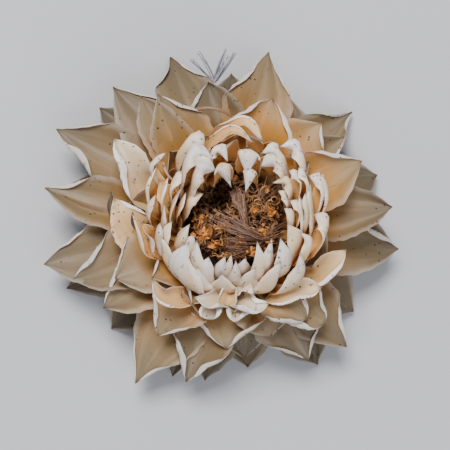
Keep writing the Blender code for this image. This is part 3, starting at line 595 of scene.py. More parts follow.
def add_bract(gathered, points, rise, half_width, rng, look, warmth_and_painted_glow, twist=0.0, stain=0.0, rolls=None,
              lying=False):
    """One papery bract: a cupped, creased and pointed sheet with rolled margins, on its midrib."""
    spine, across, inward = bract_frame(points, rise, look, twist, lying)
    share = np.linspace(0.0, 1.0, look["steps"] + 1)
    rows = share[:, None]
    place = np.sin(np.linspace(-math.pi / 2, math.pi / 2, look["columns"] + 1))
    angle = section_angles(place, share, look, rolls or drawn_rolls(look, rng), rng)
    lean = (angle[:, 1:] + angle[:, :-1]) / 2
    level = summed_from_middle(np.cos(lean) * np.diff(place))
    raised = summed_from_middle(np.sin(lean) * np.diff(place))
    width = ragged_margins(place, share, rng)
    lengths = [(after - before).length for before, after in zip(points, points[1:])]
    belly = lengths[0] / sum(lengths)
    widest = sum(lengths[:look["widest_at"]]) / sum(lengths) + rng.uniform(*look["widest"])
    width = width * outline(share, widest, look, rng)[:, None] * half_width
    swell = smoothstep(0.05, 0.35, rows) * (1.0 - 0.6 * rows)
    field = soft_waves(rows, place[None, :], rng) * look["buckle"] * swell
    pleats = np.sin(place * rng.uniform(5.0, 9.0) + rng.uniform(0.0, math.tau))[None, :]
    field = field + PLEAT_DEPTH * half_width / PLEATED_HALF_WIDTH * pleats * swell
    sheet = spine[:, None, :] + across[:, None, :] * (level * width)[..., None]
    sheet = sheet + inward[:, None, :] * (raised * width + field)[..., None]
    normal = unit(np.cross(np.gradient(sheet, axis=0), np.gradient(sheet, axis=1)))
    normal[-1] = normal[-2]
    half = look["thickness"] / 2 * (1.0 - 0.75 * np.abs(place) ** 3)[None, :, None]
    reached = np.interp(share, [0.0, belly, 1.0], [0.0, BELLY_PLACE, 1.0])
    uv = np.stack(np.broadcast_arrays(place[None, :] * 0.5 + 0.5, reached[:, None]), -1)
    add_shell(gathered, sheet + normal * half, sheet - normal * half, uv, rng.random(), warmth_and_painted_glow, stain)


def spreading_points(angle, root_radius, root_height, reach, tip_height, arch, sway):
    """Root, middle and tip of a spreading bract: its sway turns the middle, and the root further."""
    radius = root_radius + MIDDLE_REACH * (reach - root_radius)
    height = root_height + MIDDLE_HEIGHT * (tip_height - root_height) + arch
    turn = math.degrees(sway / radius)
    return [polar(angle + ROOT_SWAY * turn, root_radius, root_height), polar(angle + turn, radius, height),
            polar(angle, reach, max(tip_height, LOWEST_TIP))]


def warm_share(angle):
    """How much of its row's warm tint a spreading bract has: the most on the side painted with a backlit glow.
    """
    return OTHER_WARMTH + max(0.0, math.cos(math.radians(angle - PAINTED_GLOW_SIDE))) ** WARM_FOCUS


def spreading_row(name, settings, rng, material):
    """One row of the outer star as a piece."""
    bracts, root_radius, root_height, rise, arch, warmth_and_painted_glow, look = settings
    gathered = Gathered()
    for place, (angle, reach, tip_height, half_width, *rest) in enumerate(sorted(bracts)):
        sway, *rolls = (*rest, 0.0, 0.0, 0.0)[:3]
        lift = ROW_STAGGER * ((place + 1) % 2)
        points = spreading_points(angle, root_radius, root_height + lift, reach, tip_height, arch + lift,
                                  sway)
        add_bract(gathered, points, rise, half_width * SPREADING_WIDEN, rng, look,
                  warmth_and_painted_glow * warm_share(angle) + rng.uniform(-0.1, 0.1), twist=rng.uniform(-9.0, 9.0),
                  stain=float((angle, reach) == STAINED_BRACT), rolls=rolls)
    return gathered.build(name, material)


def lying_piece(name, bracts, rng, material):
    """Short bracts that lie curved on the others, as a piece."""
    gathered = Gathered()
    for belly, crest, tip, half_width, twist, warmth_and_painted_glow, *rolls in bracts:
        root = polar(belly[0] + LYING_ROOT_TURN * (belly[0] - crest[0]), *LYING_ROOT)
        points = [root, polar(*belly), polar(*crest), polar(*tip)]
        add_bract(gathered, points, LYING_RISE, half_width * LYING_WIDEN, rng, LYING_LOOK, warmth_and_painted_glow,
                  twist=twist, rolls=rolls, lying=True)
    return gathered.build(name, material)


def narrow_piece(name, rng, material):
    """The narrow dried bracts that stand on edge, as a piece."""
    gathered = Gathered()
    for root, belly, tip, half_width, twist in NARROW_BRACTS:
        add_bract(gathered, [Vector(root), Vector(belly), Vector(tip)], NARROW_RISE, half_width, rng,
                  SPREADING_LOOK, 0.0, twist=twist, stain=NARROW_STAIN)
    return gathered.build(name, material)


def make_spreading_bracts(material, pale):
    """The cream bracts of the outer star, a piece for each row, then the narrow and the crumpled ones."""
    rng = random.Random(3)
    pieces = [spreading_row(f"spreading_bracts_{row}", settings, rng, material)
              for row, settings in enumerate(SPREADING_ROWS)]
    pieces.append(narrow_piece("narrow_bracts", rng, material))
    pieces.append(lying_piece("lying_bracts", LYING_BRACTS, rng, pale))
    return pieces


def crown_side(name, rng, material):
    """One side of the crown as a piece."""
    bracts, rise, widen, warmth_and_painted_glow, look = CROWN_SIDES[name]
    gathered = Gathered()
    for belly, crest, tip, half_width, twist in bracts:
        turn = (tip[0] - belly[0] + 180.0) % 360.0 - 180.0
        root = polar(belly[0] - CROWN_ROOT_TURN * turn, *CROWN_ROOT)
        points = [root, polar(*belly), polar(*crest), polar(*tip)]
        add_bract(gathered, points, rise, half_width * widen, rng, look, warmth_and_painted_glow + rng.uniform(0.0, 0.3),
                  twist=twist + rng.uniform(-8.0, 8.0))
    return gathered.build(f"crown_{name}", material)


def crown_lining(rng, material):
    """The short amber bracts that line the crown, as a piece."""
    gathered = Gathered()
    for place in range(LINING_COUNT):
        angle = 360.0 * (place + rng.uniform(-0.25, 0.25)) / LINING_COUNT
        drop = rng.uniform(-0.9, 0.9)
        points = [polar(angle, *LINING_ROOT), polar(angle, LINING_BELLY[0], LINING_BELLY[1] + 0.5 * drop),
                  polar(angle + rng.uniform(-4.0, 4.0), LINING_TIP[0], LINING_TIP[1] + drop)]
        add_bract(gathered, points, LINING_RISE, LINING_HALF_WIDTH, rng, LINING_LOOK, 1.0,
                  twist=rng.uniform(-12.0, 12.0))
    return gathered.build("crown_lining", material)


def make_crown(material, lining):
    """The white incurved bracts round the disc, their lining, and those bent over or closing the back."""
    rng = random.Random(5)
    pieces = [crown_side(name, rng, material) for name in ("top", "right", "lower", "left")]
    pieces.append(crown_lining(rng, lining))
    pieces.append(lying_piece("crown_arched", ARCHED_BRACTS, rng, material))
    pieces.append(crown_side("back", rng, material))
    return pieces


def make_base_scales(material):
    """The small brown scales that cover the underside."""
    rng = random.Random(9)
    gathered = Gathered()
    for row, (count, root_radius, root_height, tip_radius, tip_height, half_width) in enumerate(SCALE_ROWS):
        for place in range(count):
            angle = 360.0 * (place + 0.5 * row) / count
            drop = SCALE_DROP * (place % 2)
            bend = polar(angle, (root_radius + tip_radius) / 2, (root_height + tip_height) / 2 - drop)
            points = [polar(angle, root_radius, root_height - drop), bend,
                      polar(angle, tip_radius - rng.uniform(0.0, 0.7), tip_height - drop / 2)]
            add_bract(gathered, points, SCALE_RISE, half_width, rng, SCALE_LOOK, 0.0)
    return [gathered.build("base_scales_fine", material)]


def tube_faces(rows, sides):
    """Faces of a tube of rings that are closed at both ends."""
    index = np.arange(rows * sides).reshape(rows, sides)
    after = np.roll(index, -1, axis=1)
    walls = np.stack([index[:-1], after[:-1], after[1:], index[1:]], -1).reshape(-1, 4)
    return [*walls.tolist(), index[0][::-1].tolist(), index[-1].tolist()]


def turned_shape(sections, sides, rib_depth=0.0):
    """Points and faces of a closed solid of revolution, ribbed where asked."""
    points = []
    for radius, height in sections:
        for side in range(sides):
            depth = rib_depth * math.cos(STEM_RIBS * math.tau * side / sides) if radius > 0.3 else 0.0
            points.append(tuple(polar(360.0 * side / sides, max(radius, 0.02) * (1.0 + depth), height)))
    return np.array(points), tube_faces(len(sections), sides)


def plain_layers(points):
    """A UV map and tones for a shape that needs none: the distance from the axis, and zeros."""
    uvs = np.stack([np.hypot(points[:, 0], points[:, 1]), points[:, 2]], axis=1)
    return uvs, np.zeros((len(points), 4))


def make_stem(material):
    """The cut stub of stem, ribbed, widening into the pad."""
    points, faces = turned_shape(STEM_SECTIONS, STEM_SIDES, STEM_RIB_DEPTH)
    gathered = Gathered()
    gathered.add(points, faces, *plain_layers(points))
    return [gathered.build("stem_fine", material)]


def hollow_depth(x, y):
    """How far the dark hollow lowers the disc at a place."""
    away = math.hypot(x - HOLLOW_CENTRE[0], y - HOLLOW_CENTRE[1]) / HOLLOW_RADIUS
    return HOLLOW_DEPTH * max(0.0, 1.0 - away ** 3)


def make_core(material):
    """The low core that the florets stand on, with the hollow in it."""
    sections = [(CORE_RADIUS, CORE_FOOT)]
    sections += [(CORE_RADIUS * (1.0 - ring / (CORE_RINGS - 1)), CORE_TOP) for ring in range(CORE_RINGS)]
    points, faces = turned_shape(sections, CORE_SIDES)
    for point in points[CORE_SIDES:]:
        rough = 0.35 * noise.noise(Vector(point) * 1.7) - 1.4 * (math.hypot(*point[:2]) / CORE_RADIUS) ** 6
        point[2] += rough - hollow_depth(point[0], point[1])
    gathered = Gathered()
    gathered.add(points, faces, *plain_layers(points))
    return gathered.build("disc_core", material)


def add_tube(gathered, path, radii, sides, tone, flat=1.0, mouth=0.0):
    """Add a slim tube along a path: flat squeezes it, and mouth opens its end in lobes."""
    path = np.array([tuple(point) for point in path])
    along = unit(np.gradient(path, axis=0))
    hint = np.array((0.31, 0.17, 0.93)) if abs(along[0][2]) < 0.9 else np.array((0.9, 0.31, 0.17))
    side = unit(np.cross(along, hint))
    up = np.cross(side, along)
    turn = np.arange(sides) * math.tau / sides
    ring = side[:, None, :] * np.cos(turn)[:, None] + up[:, None, :] * (flat * np.sin(turn))[:, None]
    points = path[:, None, :] + ring * radii[:, None, None]
    if mouth:
        lobes = (np.arange(sides) % 2 == 0)[:, None]
        points[-1] += np.where(lobes, ring[-1] * mouth + along[-1] * mouth, 0.0)
    reach = np.repeat(np.linspace(0.0, 1.0, len(path)), sides)
    tones = np.zeros((len(reach), 4))
    tones[:, :2] = tone
    tones[:, 2] = reach
    uvs = np.stack([np.tile(turn / math.tau, len(path)), reach], axis=1)
    gathered.add(points.reshape(-1, 3), tube_faces(len(path), sides), uvs, tones)


def disc_spot(rng, spread=1.15):
    """A random place on the disc, lowered in the hollow, and how deep the hollow is there."""
    spot = polar(rng.uniform(0.0, 360.0), DISC_RADIUS * spread * math.sqrt(rng.random()), CORE_TOP)
    depth = hollow_depth(spot.x, spot.y)
    spot.z -= depth
    return spot, depth


def disc_tone(rng, depth):
    """Two random tone numbers, the first darkened as painted shade in the middle of the hollow."""
    return rng.random() * (PAINTED_HOLLOW_SHADE if depth > DARK_DEPTH else 1.0), rng.random()


def add_florets(gathered, rng):
    """Dried tubular florets, leaning together and shrivelled."""
    for place in range(FLORET_COUNT):
        radius = DISC_RADIUS * 0.98 * math.sqrt((place + 0.5) / FLORET_COUNT)
        foot = polar(GOLDEN_ANGLE * place, radius, CORE_TOP - 0.8)
        depth = hollow_depth(foot.x, foot.y)
        top = FLORET_TOP - 0.6 * (radius / DISC_RADIUS) ** 2 + rng.uniform(-1.2, 0.35) - depth * 1.1
        foot.z -= depth
        mouth = polar(GOLDEN_ANGLE * place, radius * 1.15, top) + random_vector(rng, 0.6)
        size = rng.uniform(0.75, 1.15)
        opened = rng.random() < OPEN_SHARE
        radii = np.array([*FLORET_RADII, OPEN_MOUTH if opened else SHUT_MOUTH]) * size
        path = bowed(foot, mouth, random_vector(rng, 0.3), len(FLORET_RADII))
        add_tube(gathered, path, radii, FLORET_SIDES, disc_tone(rng, depth), mouth=MOUTH_LOBES * opened)


def add_curls(gathered, rng):
    """Thin scraps that wander and curl among the florets."""
    for _ in range(CURL_COUNT):
        start, depth = disc_spot(rng)
        start.z += rng.uniform(0.6, 2.2)
        path = [start]
        heading = random_vector(rng, 1.0, 0.1).normalized()
        for _ in range(CURL_STEPS):
            heading = (heading + random_vector(rng, 0.75)).normalized()
            path.append(path[-1] + heading * rng.uniform(0.16, 0.30))
        thick = rng.uniform(0.05, 0.12)
        radii = np.linspace(thick, thick * 0.4, CURL_STEPS + 1)
        add_tube(gathered, path, radii, CURL_SIDES, disc_tone(rng, depth), flat=0.4)


def add_ribbons(gathered, rng):
    """Flat brown ribbons that curl round."""
    radii = np.linspace(*RIBBON_RADII, RIBBON_STEPS + 1)
    for _ in range(RIBBON_COUNT):
        angle = rng.uniform(0.0, 360.0)
        centre = Vector(RIBBON_PLACE) + polar(angle, RIBBON_SPREAD * math.sqrt(rng.random()),
                                              rng.uniform(-0.8, 0.5))
        tilt = Euler((rng.uniform(-0.9, 0.9), rng.uniform(-0.9, 0.9), rng.uniform(0.0, math.tau))).to_matrix()
        size = rng.uniform(0.4, 0.9)
        sweep = rng.uniform(150.0, 320.0)
        path = [centre + tilt @ polar(sweep * step / RIBBON_STEPS, size * (1.0 - 0.04 * step), 0.05 * step)
                for step in range(RIBBON_STEPS + 1)]
        add_tube(gathered, path, radii, RIBBON_SIDES, (rng.uniform(0.3, 0.9), rng.random()), flat=0.3)


def make_florets(material):
    """The dried florets, with the curled scraps and ribbons among them."""
    rng = random.Random(21)
    gathered = Gathered()
    add_florets(gathered, rng)
    add_curls(gathered, rng)
    add_ribbons(gathered, rng)
    return gathered.build("disc_florets_fine", material)


def ball():
    """Points and faces of a small ball."""
    shape = bmesh.new()
    bmesh.ops.create_icosphere(shape, subdivisions=2, radius=1.0)
    points = np.array([tuple(vertex.co) for vertex in shape.verts])
    faces = [[vertex.index for vertex in face.verts] for face in shape.faces]
    shape.free()
    return points, faces


def add_crumb(gathered, shape, centre, size, tone, rng):
    """Add one crumpled, flattened crumb."""
    points, faces = shape
    offset = Vector((rng.uniform(0.0, 50.0), 0.0, 0.0))
    rough = np.array([1.0 + 0.8 * noise.noise(Vector(point) * 1.5 + offset)
                      + 0.35 * noise.noise(Vector(point) * 3.7 + offset) for point in points])
    squeeze = np.array([rng.uniform(0.5, 1.6), rng.uniform(0.5, 1.4), rng.uniform(0.2, 0.7)])
    spin = Euler([rng.uniform(0.0, math.tau) for _ in range(3)]).to_matrix()
    placed = (points * rough[:, None] * squeeze * size) @ np.array(spin).T + np.array(tuple(centre))
    uvs, tones = plain_layers(placed)
    tones[:, 0] = tone
    tones[:, 2] = rng.random()
    gathered.add(placed, faces, uvs, tones)


def make_crumbs(material):
    """Orange and brown crumbs of broken florets: scattered over the disc and heaped in lumps."""
    rng = random.Random(27)
    shape = ball()
    gathered = Gathered()
    for _ in range(CRUMB_COUNT):
        centre, depth = disc_spot(rng, 1.2)
        if depth > 1.2 and rng.random() < 0.5:
            continue
        centre.z += rng.uniform(0.1, 2.0) * (1.0 if depth < DARK_DEPTH else 0.5)
        # Crumbs in the middle of the hollow are darkened as painted shade
        shaded = 0.25 if depth > DARK_DEPTH else 0.8
        add_crumb(gathered, shape, centre, 0.10 + 0.26 * rng.random() ** 2, rng.random() ** 1.5 * shaded, rng)
    for x, y, height, radius in LUMPS:
        for _ in range(LUMP_CRUMBS):
            centre = Vector((x, y, height)) + random_vector(rng, radius * 0.8)
            add_crumb(gathered, shape, centre, radius * rng.uniform(0.35, 0.7), rng.uniform(0.6, 1.0), rng)
    return gathered.build("disc_crumbs", material, sharp_degrees=35.0)


def add_bristle(gathered, start, end, bow, kind, rng):
    """Add one bowed bristle that narrows to its end, with two random tone numbers."""
    thick, thin, steps, sides = kind
    add_tube(gathered, bowed(start, end, bow, steps), np.linspace(thick, thin, steps + 1), sides,
             (rng.random(), rng.random()))


def make_bristles(material):
    """The brushes of the pappus, sweeping across the disc in wisps, and the loose bristles round them."""
    rng = random.Random(33)
    gathered = Gathered()
    for root, heading, spread, length, rise, wisps, bristles in BRUSHES:
        for wisp in range(wisps):
            share = (wisp + 0.5) / wisps * 2.0 - 1.0
            reach = length * (1.0 - 0.2 * share * share - rng.uniform(0.0, 0.25))
            wisp_end = Vector(root) + polar(heading + spread * share, reach, rise + rng.uniform(-0.4, 0.5))
            wisp_bow = random_vector(rng, 0.25, 0.2)
            for _ in range(bristles):
                start = Vector(root) + random_vector(rng, 0.35)
                end = wisp_end + random_vector(rng, 0.2)
                end = start.lerp(end, rng.uniform(0.8, 1.05))
                bow = wisp_bow + random_vector(rng, 0.12)
                add_bristle(gathered, start, end, bow, BRUSH_BRISTLE, rng)
    for _ in range(LOOSE_BRISTLES):
        start, depth = disc_spot(rng)
        if depth > 1.0 and rng.random() < 0.85:
            continue
        start.z += rng.uniform(0.4, 2.0)
        end = start + random_vector(rng, 1.3, 0.5)
        add_bristle(gathered, start, end, random_vector(rng, 0.5), LOOSE_BRISTLE, rng)
    return gathered.build("pappus_fine", material)


def make_tuft(material):
    """The loose grey tuft of bristles caught between two upper bracts."""
    rng = random.Random(41)
    gathered = Gathered()
    for end in TUFT_ENDS:
        for _ in range(TUFT_HAIRS):
            start = Vector(TUFT_ROOT) + random_vector(rng, 0.2)
            away = Vector(end) + random_vector(rng, 0.25)
            add_bristle(gathered, start, away, random_vector(rng, 0.25), TUFT_BRISTLE, rng)
    return gathered.build("loose_tuft", material)


def make_threads(material):
    """Brown dried threads lying across the bracts, which narrow to one end; the second is partly a painted
    shadow line in a crease.
    """
    gathered = Gathered()
    shares = np.linspace(0.0, 1.0, THREAD_STEPS + 1)
    for points, thick in THREADS:
        path = spine_through([Vector(point) for point in points], 0.0, THREAD_STEPS)
        add_tube(gathered, path, thick * (1.0 - 0.7 * shares ** 3), THREAD_SIDES, THREAD_TONE, flat=0.7)
    return gathered.build("brown_threads", material)


class Graph:
    """A short way to write a material's nodes."""

    def __init__(self, name):
        self.material = bpy.data.materials.new(name)
        self.material.use_nodes = True
        self.tree = self.material.node_tree
        self.shader = self.tree.nodes["Principled BSDF"]

    def add(self, kind, inputs, **settings):
        """A node with its own settings, and its inputs by name or place, each set or linked."""
        node = self.tree.nodes.new(kind)
        for key, value in settings.items():
            setattr(node, key, value)
        for key, value in inputs.items():
            self.feed(node.inputs[key], value)
        return node

    def feed(self, socket, value):
        """Link a socket to a value, or set it."""
        if isinstance(value, bpy.types.NodeSocket):
            self.tree.links.new(value, socket)
        elif isinstance(value, tuple) and socket.type == "RGBA":
            socket.default_value = (*value, 1.0)
        else:
            socket.default_value = value

    def math(self, operation, first, second=0.0):
        """A Math node."""
        return self.add("ShaderNodeMath", {0: first, 1: second}, operation=operation).outputs[0]

    def plus(self, first, second):
        """A sum."""
        return self.math("ADD", first, second)

    def minus(self, first, second):
        """A difference."""
        return self.math("SUBTRACT", first, second)

    def times(self, first, second):
        """A product."""
        return self.math("MULTIPLY", first, second)

    def step(self, low, high, value, scale=1.0):
        """A smooth step from 0 at low to scale at high."""
        limits = {"Value": value, "From Min": low, "From Max": high, "To Max": scale}
        return self.add("ShaderNodeMapRange", limits, interpolation_type="SMOOTHSTEP").outputs["Result"]

    def mix(self, share, first, second, blend="MIX"):
        """A colour mix."""
        colours = {"Factor": share, "A": first, "B": second}
        return self.add("ShaderNodeMix", colours, data_type="RGBA", blend_type=blend).outputs["Result"]

    def place(self):
        """The place in object space."""
        return self.add("ShaderNodeTexCoord", {}).outputs["Object"]

    def noise(self, scale, detail):
        """A noise texture in object space, with its scale in features to a millimetre."""
        inputs = {"Scale": scale / MM, "Detail": detail, "Vector": self.place()}
        return self.add("ShaderNodeTexNoise", inputs).outputs["Fac"]

    def specks(self, spacing, size, share):
        """1 on small specks about spacing millimetres apart, kept on a share of the places."""
        node = self.add("ShaderNodeTexVoronoi", {"Scale": 1.0 / (spacing * MM), "Vector": self.place()})
        radius = self.times(self.noise(3.0, 2.0), 2.0 * size / spacing)
        inside = self.math("LESS_THAN", node.outputs["Distance"], radius)
        kept = self.math("LESS_THAN", self.split(node.outputs["Color"])[0], share)
        return self.times(inside, kept)

    def split(self, colour):
        """The three channels of a colour."""
        return self.add("ShaderNodeSeparateColor", {0: colour}).outputs[:3]

    def tone(self):
        """The four numbers of the tone attribute."""
        node = self.add("ShaderNodeAttribute", {}, attribute_name="tone")
        return (*self.split(node.outputs["Color"]), node.outputs["Alpha"])

    def along(self):
        """Across and along from the UV map: both 0 to 1."""
        uv = self.add("ShaderNodeUVMap", {}, uv_map="along").outputs["UV"]
        return self.add("ShaderNodeSeparateXYZ", {0: uv}).outputs[:2]

    def surface(self, colour, roughness, sheen=0.5):
        """Set the shader's colour, roughness and sheen."""
        self.feed(self.shader.inputs["Base Color"], colour)
        self.shader.inputs["Roughness"].default_value = roughness
        self.shader.inputs["Specular IOR Level"].default_value = sheen

    def bump(self, height, distance, strength):
        """A bump from a height that runs from 0 to 1."""
        node = self.add("ShaderNodeBump", {"Distance": distance * MM, "Strength": strength, "Height": height})
        self.feed(self.shader.inputs["Normal"], node.outputs["Normal"])
        return node.outputs["Normal"]

    def translucent(self, colour, share, normal):
        """Let a share of the light through the sheet."""
        leaf = self.add("ShaderNodeBsdfTranslucent", {"Color": colour, "Normal": normal})
        both = self.add("ShaderNodeMixShader", {0: share, 1: self.shader.outputs[0], 2: leaf.outputs[0]})
        self.feed(self.tree.nodes["Material Output"].inputs["Surface"], both.outputs[0])


def streaked(graph, across, along, chance, fine, slow):
    """A noise drawn out along a bract: how fine across and how slow along."""
    inputs = {0: graph.times(across, fine), 1: graph.times(along, slow), 2: graph.times(chance, 40.0)}
    place = graph.add("ShaderNodeCombineXYZ", inputs).outputs[0]
    return graph.add("ShaderNodeTexNoise", {"Scale": 1.0, "Detail": 3.0, "Vector": place}).outputs["Fac"]


def paper_colour(graph, foot, veins, shade, tip, body, deep):
    """Pale at the tip and orange at the foot, the orange partly painted warm glow, with deeper veins, and
    multiplied by a grey of random tone with painted shade and light.
    """
    mix, step = graph.mix, graph.step
    colour = mix(step(0.05, 0.42, foot), tip, body)
    colour = mix(step(0.34, 0.80, foot), colour, deep)
    colour = mix(step(0.52, 0.30, veins, 0.16), colour, deep)
    grey = graph.add("ShaderNodeCombineColor", dict.fromkeys(range(3), shade)).outputs[0]
    return mix(1.0, colour, grey, "MULTIPLY")


def paper_marks(graph, colour, across, along, off_middle, stain, specks):
    """Bruises, the streak of a stained bract, smudges, a brown tip and clustered specks."""
    mix, step, times, noise_of = graph.mix, graph.step, graph.times, graph.noise
    colour = mix(step(0.58, 0.74, noise_of(0.8, 5.0), 0.35), colour, BRUISE_BROWN)
    streak = times(step(0.45, 0.62, along), step(0.97, 0.85, along))
    beside = graph.math("ABSOLUTE", graph.minus(across, STREAK_PLACE))
    streak = times(streak, step(0.085, 0.015, beside))
    colour = mix(times(streak, stain), colour, STREAK_BROWN)
    smudge = times(step(0.62, 0.70, noise_of(1.1, 6.0), 0.5), step(0.5, 0.85, along))
    colour = mix(smudge, colour, SMUDGE_GREY)
    colour = mix(step(0.955, 1.0, along, 0.8), colour, TIP_BROWN)
    clusters = times(step(0.45, 0.65, noise_of(0.45, 2.0)), specks)
    dots = graph.specks(0.62, 0.13, graph.plus(clusters, step(0.30, 0.49, off_middle, 0.12)))
    return mix(times(dots, step(0.25, 0.6, along, 0.85)), colour, SPECK_BROWN)


def bract_material(name, tip, body, deep, edge, rim=0.9, through=0.40, specks=0.3, start=0.0, dim=0.86,
                   lift=0.0, inner=0.0, sheen=0.5):
    """Dry papery bract: tip to foot colours, streaks, paler margins and marks, with painted shade, light and
    glow.
    """
    graph = Graph(name)
    mix, step, plus, minus, times = graph.mix, graph.step, graph.plus, graph.minus, graph.times
    across, along = graph.along()
    # The second tone number is how warm the bract is, partly painted glow
    chance, warmth_and_painted_glow, face, stain = graph.tone()
    off_middle = graph.math("ABSOLUTE", minus(across, 0.5))
    # Broad streaks along the bract: partly its own streaky tone, partly painted light and shade of its ridges
    streaks_and_painted_ridge_light = streaked(graph, across, along, chance, 5.0, 1.2)
    veins = streaked(graph, across, along, chance, 48.0, 1.6)
    # The foot turns orange, and more so the warmer the bract: partly its own golden base, partly painted warm
    # glow in shaded depths
    foot = plus(minus(1.0 - start, along), times(warmth_and_painted_glow, 0.45))
    foot = plus(foot, times(minus(streaks_and_painted_ridge_light, 0.5), 0.5))
    # Inner faces turn more orange: partly their own colour, partly painted warm glow where they lie in shade
    foot = plus(foot, times(face, inner))
    # Painted shade and light: dim darkens all, lift lightens the warmer inner rows and backlit side; chance is
    # real tone
    shade = plus(plus(times(chance, 0.16), times(warmth_and_painted_glow, lift)), dim)
    colour = paper_colour(graph, foot, veins, graph.math("MINIMUM", shade, 0.98), tip, body, deep)
    margin = times(step(0.36, 0.48, off_middle), step(0.15, 0.6, along, 0.30 * rim))
    colour = mix(margin, colour, edge)
    outer = times(minus(1.0, face), step(0.30, 0.40, off_middle, rim))
    colour = mix(outer, colour, edge)
    colour = mix(step(0.48, 0.75, streaks_and_painted_ridge_light, 0.14), colour, edge)
    colour = paper_marks(graph, colour, across, along, off_middle, stain, specks)
    graph.surface(colour, BRACT_ROUGHNESS, sheen)
    normal = graph.bump(plus(times(veins, 0.5), times(graph.noise(1.4, 4.0), 0.8)), 0.07, 0.7)
    graph.translucent(mix(1.0, colour, THROUGH_COLOUR, "MULTIPLY"), through, normal)
    return graph.material


def fibre_material(name, dark, light, roughness=0.6):
    """Dried florets and bristles: each its own tone between two browns, paler to the tip."""
    graph = Graph(name)
    chance, _, reach, _ = graph.tone()
    share = graph.plus(graph.times(graph.math("POWER", chance, 1.6), 0.8), graph.times(reach, 0.2))
    colour = graph.mix(share, dark, light)
    colour = graph.mix(graph.step(0.45, 0.7, graph.noise(2.5, 3.0), 0.6), colour, dark)
    graph.surface(colour, roughness)
    graph.bump(graph.noise(6.0, 3.0), 0.05, 0.6)
    return graph.material


def grain_material(name, dark, light, scale):
    """Woody, crumbly matter: two browns mixed by a noise, with a rough surface."""
    graph = Graph(name)
    grain = graph.noise(scale, 6.0)
    graph.surface(graph.mix(graph.step(0.3, 0.7, grain), dark, light), GRAIN_ROUGHNESS)
    graph.bump(grain, 0.2, 0.8)
    return graph.material


def make_floor():
    """The pale surface that the flower lies on."""
    bpy.ops.mesh.primitive_plane_add(size=FLOOR_SIZE, location=(0.0, 0.0, 0.0))
    floor = bpy.context.active_object
    floor.name = "floor"
    graph = Graph("pale_floor")
    graph.surface(graph.mix(graph.noise(0.02, 3.0), *FLOOR_COLOURS), FLOOR_ROUGHNESS)
    floor.data.materials.append(graph.material)


def add_light(name, place, size, power, colour):
    """A square soft light that faces the flower."""
    data = bpy.data.lights.new(name, "AREA")
    data.shape = "SQUARE"
    data.size = size
    data.energy = power
    data.color = colour
    item = bpy.data.objects.new(name, data)
    item.location = place
    item.rotation_euler = (Vector(LIGHT_AIM) - Vector(place)).to_track_quat("-Z", "Y").to_euler()
    bpy.context.scene.collection.objects.link(item)


def make_light():
    """Soft daylight from above and behind, a weaker light from the front, and a pale surround."""
    world = bpy.data.worlds.new("surround")
    world.use_nodes = True
    background = world.node_tree.nodes["Background"]
    background.inputs["Color"].default_value = (*SURROUND_COLOUR, 1.0)
    background.inputs["Strength"].default_value = SURROUND_STRENGTH
    bpy.context.scene.world = world
    for light in LIGHTS:
        add_light(*light)


def make_camera():
    """The camera, looking down on the open face of the flower."""
    lean = Vector(CAMERA_LEAN).normalized()
    data = bpy.data.cameras.new("camera")
    data.lens = CAMERA_LENS
    data.sensor_width = CAMERA_SENSOR
    data.clip_start = CAMERA_NEAR * MM
    camera = bpy.data.objects.new("camera", data)
    camera.location = Vector(FLOWER_FOOT) + Vector(LOOK_AT) * MM + lean * CAMERA_DISTANCE * MM
    up = (Vector((0.0, 1.0, 0.0)) - lean * lean.y).normalized()
    camera.rotation_euler = Matrix((up.cross(lean), up, lean)).transposed().to_euler()
    bpy.context.scene.collection.objects.link(camera)
    bpy.context.scene.camera = camera


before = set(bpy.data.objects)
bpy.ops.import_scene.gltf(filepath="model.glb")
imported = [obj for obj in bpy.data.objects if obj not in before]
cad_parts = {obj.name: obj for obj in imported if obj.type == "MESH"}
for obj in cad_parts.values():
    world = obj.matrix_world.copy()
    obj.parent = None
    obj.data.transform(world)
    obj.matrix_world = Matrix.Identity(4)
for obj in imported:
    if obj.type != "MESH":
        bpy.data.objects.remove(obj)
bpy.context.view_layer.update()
stem_low, stem_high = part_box("stem")
FLOWER_FOOT = ((stem_low[0] + stem_high[0]) / 2, (stem_low[1] + stem_high[1]) / 2,
               stem_low[2] - STEM_FOOT * MM)

make_camera()
make_light()
make_floor()

# Cream outer bracts: the low dim paints shade on them, and lift paints the warmer inner rows and backlit side
# lighter
cream_paper = bract_material("cream_bract_paper", tip=(0.25, 0.198, 0.135), body=(0.36, 0.25, 0.125),
                             deep=(0.54, 0.26, 0.048), edge=(0.76, 0.73, 0.67), through=0.50, dim=0.45,
                             lift=0.80, sheen=0.3)
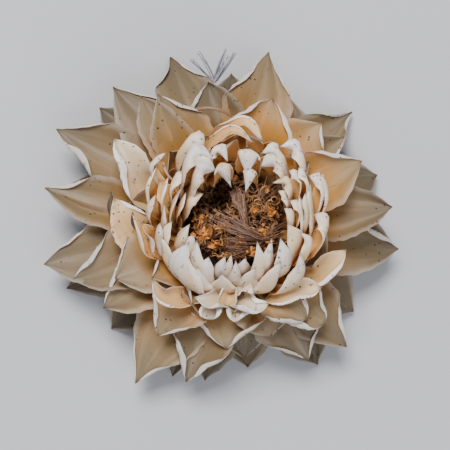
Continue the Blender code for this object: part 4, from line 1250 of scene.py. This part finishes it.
# The white tip colour is tinted a little blue as painted cool skylight
white_paper = bract_material("white_bract_paper", tip=(0.84, 0.86, 0.89), body=(0.80, 0.66, 0.43),
                             deep=(0.76, 0.43, 0.13), edge=(0.88, 0.87, 0.85), rim=0.3, specks=1.0,
                             start=0.16, inner=0.45)
pale_paper = bract_material("pale_bract_paper", tip=(0.80, 0.79, 0.76), body=(0.72, 0.58, 0.38),
                            deep=(0.66, 0.42, 0.17), edge=(0.86, 0.85, 0.83), specks=0.8, start=0.10,
                            inner=0.18)
amber_paper = bract_material("amber_bract_paper", tip=(0.50, 0.33, 0.17), body=(0.38, 0.18, 0.06),
                             deep=(0.20, 0.07, 0.02), edge=(0.62, 0.46, 0.30))
scale_paper = bract_material("scale_paper", tip=(0.30, 0.19, 0.10), body=(0.24, 0.13, 0.055),
                             deep=(0.15, 0.07, 0.025), edge=(0.40, 0.28, 0.17), through=0.15)
woody = grain_material("woody", (0.06, 0.035, 0.015), (0.20, 0.14, 0.075), 1.5)
crumb = grain_material("crumb", (0.008, 0.003, 0.001), (0.045, 0.016, 0.005), 2.0)
floret_skin = fibre_material("floret_skin", (0.045, 0.016, 0.006), (0.48, 0.21, 0.05))
crumb_skin = fibre_material("crumb_skin", (0.04, 0.013, 0.004), (0.60, 0.21, 0.03), 0.85)
bristle_skin = fibre_material("bristle_skin", (0.04, 0.015, 0.007), (0.34, 0.18, 0.11), 0.5)
tuft_skin = fibre_material("tuft_skin", (0.14, 0.13, 0.15), (0.36, 0.34, 0.38), 0.5)
thread_skin = fibre_material("thread_skin", (0.10, 0.045, 0.020), (0.30, 0.16, 0.08), 0.5)

PIECES = {
    "spreading_bracts": [*make_spreading_bracts(cream_paper, pale_paper), make_tuft(tuft_skin),
                         make_threads(thread_skin)],
    "inner_bracts": make_crown(white_paper, amber_paper),
    "base_scales": make_base_scales(scale_paper),
    "stem": make_stem(woody),
    "disc_florets": [make_core(crumb), make_florets(floret_skin), make_crumbs(crumb_skin)],
    "pappus": [make_bristles(bristle_skin)],
}
for node, pieces in PIECES.items():
    for piece in pieces:
        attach(piece, "root")
        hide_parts(node)
